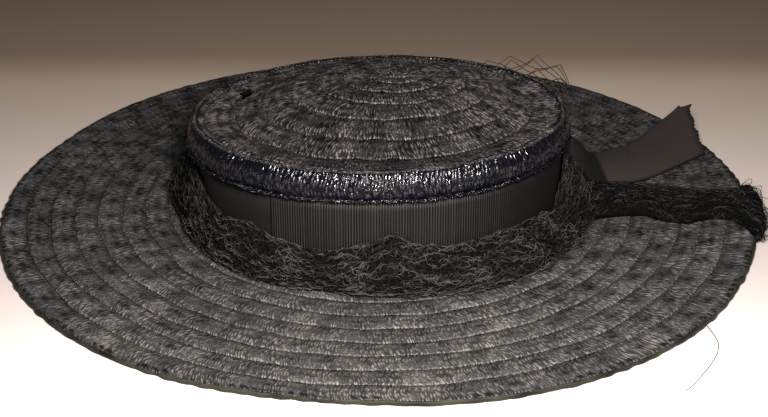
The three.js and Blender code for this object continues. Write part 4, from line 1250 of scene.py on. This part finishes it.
# lights: where they stand and what they shine at in metres, size across, watts and colour
lights = {
    "keyLight": ((0.05, -0.47, 0.315), (0.0, -0.1, 0.02), 0.14, 8.3, "#fffaf6"),
    "topLight": ((-0.02, -0.3, 1.1), (0.0, 0.0, 0.0), 0.8, 2.0, "#ffffff"),
}
room = {"colour": "#f4f2f0", "strength": 0.05}
# camera: metres, degrees, mm and shares of the picture's width
view = {"distance": 0.84345, "elevation": 26.24, "lens": 75.09, "shiftX": 0.00697, "shiftY": -0.01098}


def makeStage():
    # a wide floor of plain matt card at the height that the hat stands on; its tint darkens
    # along a ramp from the front to the back: painted shade as the light falls off, and the
    # darker colour of the backdrop at the far end
    mesh = bpy.data.meshes.new("floor")
    (left, front), (right, back) = stage["low"], stage["high"]
    corners = [(left, front, 0), (right, front, 0), (right, back, 0), (left, back, 0)]
    mesh.from_pydata(corners, [], [(0, 1, 2, 3)])
    floor = bpy.data.objects.new("floor", mesh)
    bpy.context.scene.collection.objects.link(floor)
    mesh.materials.append(newMaterial("paleFloor", [
        ("place", "TexCoord", {}, {}),
        ("split", "SeparateXYZ", {}, {"Vector": "place.Object"}),
        ("far", "MapRange", {}, {
            "From Min": stage["reach"][0], "From Max": stage["reach"][1], "Value": "split.Y"}),
        ("tint", "ValToRGB", {}, {"Fac": "far.Result"}, list(zip(stage["places"], stage["tintsWithPaintedShade"]))),
        ("surface", "BsdfPrincipled", {}, {
            "Roughness": stage["rough"], "Specular IOR Level": stage["shine"], "Base Color": "tint.Color"}),
    ]))


def addLight(name, place, target, size, power, colour):
    # a round lamp, turned down from level and then about the upright to face its target
    lamp = bpy.data.lights.new(name, "AREA")
    lamp.shape = "DISK"
    lamp.size = size
    lamp.energy = power
    lamp.color = linear(colour)[:3]
    item = bpy.data.objects.new(name, lamp)
    item.location = place
    ahead, aside, up = np.array(target) - np.array(place)
    item.rotation_euler = (np.arctan2(np.hypot(ahead, aside), -up), 0, np.arctan2(aside, ahead) - np.pi / 2)
    bpy.context.scene.collection.objects.link(item)


makeStage()
for name, lamp in lights.items():
    addLight(name, *lamp)
world = bpy.data.worlds.new("softRoom")
world.use_nodes = True
world.node_tree.nodes["Background"].inputs["Color"].default_value = linear(room["colour"])
world.node_tree.nodes["Background"].inputs["Strength"].default_value = room["strength"]
bpy.context.scene.world = world
bpy.context.scene.view_settings.view_transform = "Standard"

camera = bpy.data.cameras.new("camera")
camera.lens = view["lens"]
camera.sensor_width = 36
camera.shift_x = view["shiftX"]
camera.shift_y = view["shiftY"]
camera.clip_start = 0.05
cameraItem = bpy.data.objects.new("camera", camera)
rise = np.radians(view["elevation"])
away, above = view["distance"] * np.cos(rise), view["distance"] * np.sin(rise)
cameraItem.location = (axisPoint[0], axisPoint[1] - away, above)
cameraItem.rotation_euler = (np.pi / 2 - rise, 0, 0)
bpy.context.scene.collection.objects.link(cameraItem)
bpy.context.scene.camera = cameraItem
print("stage made")
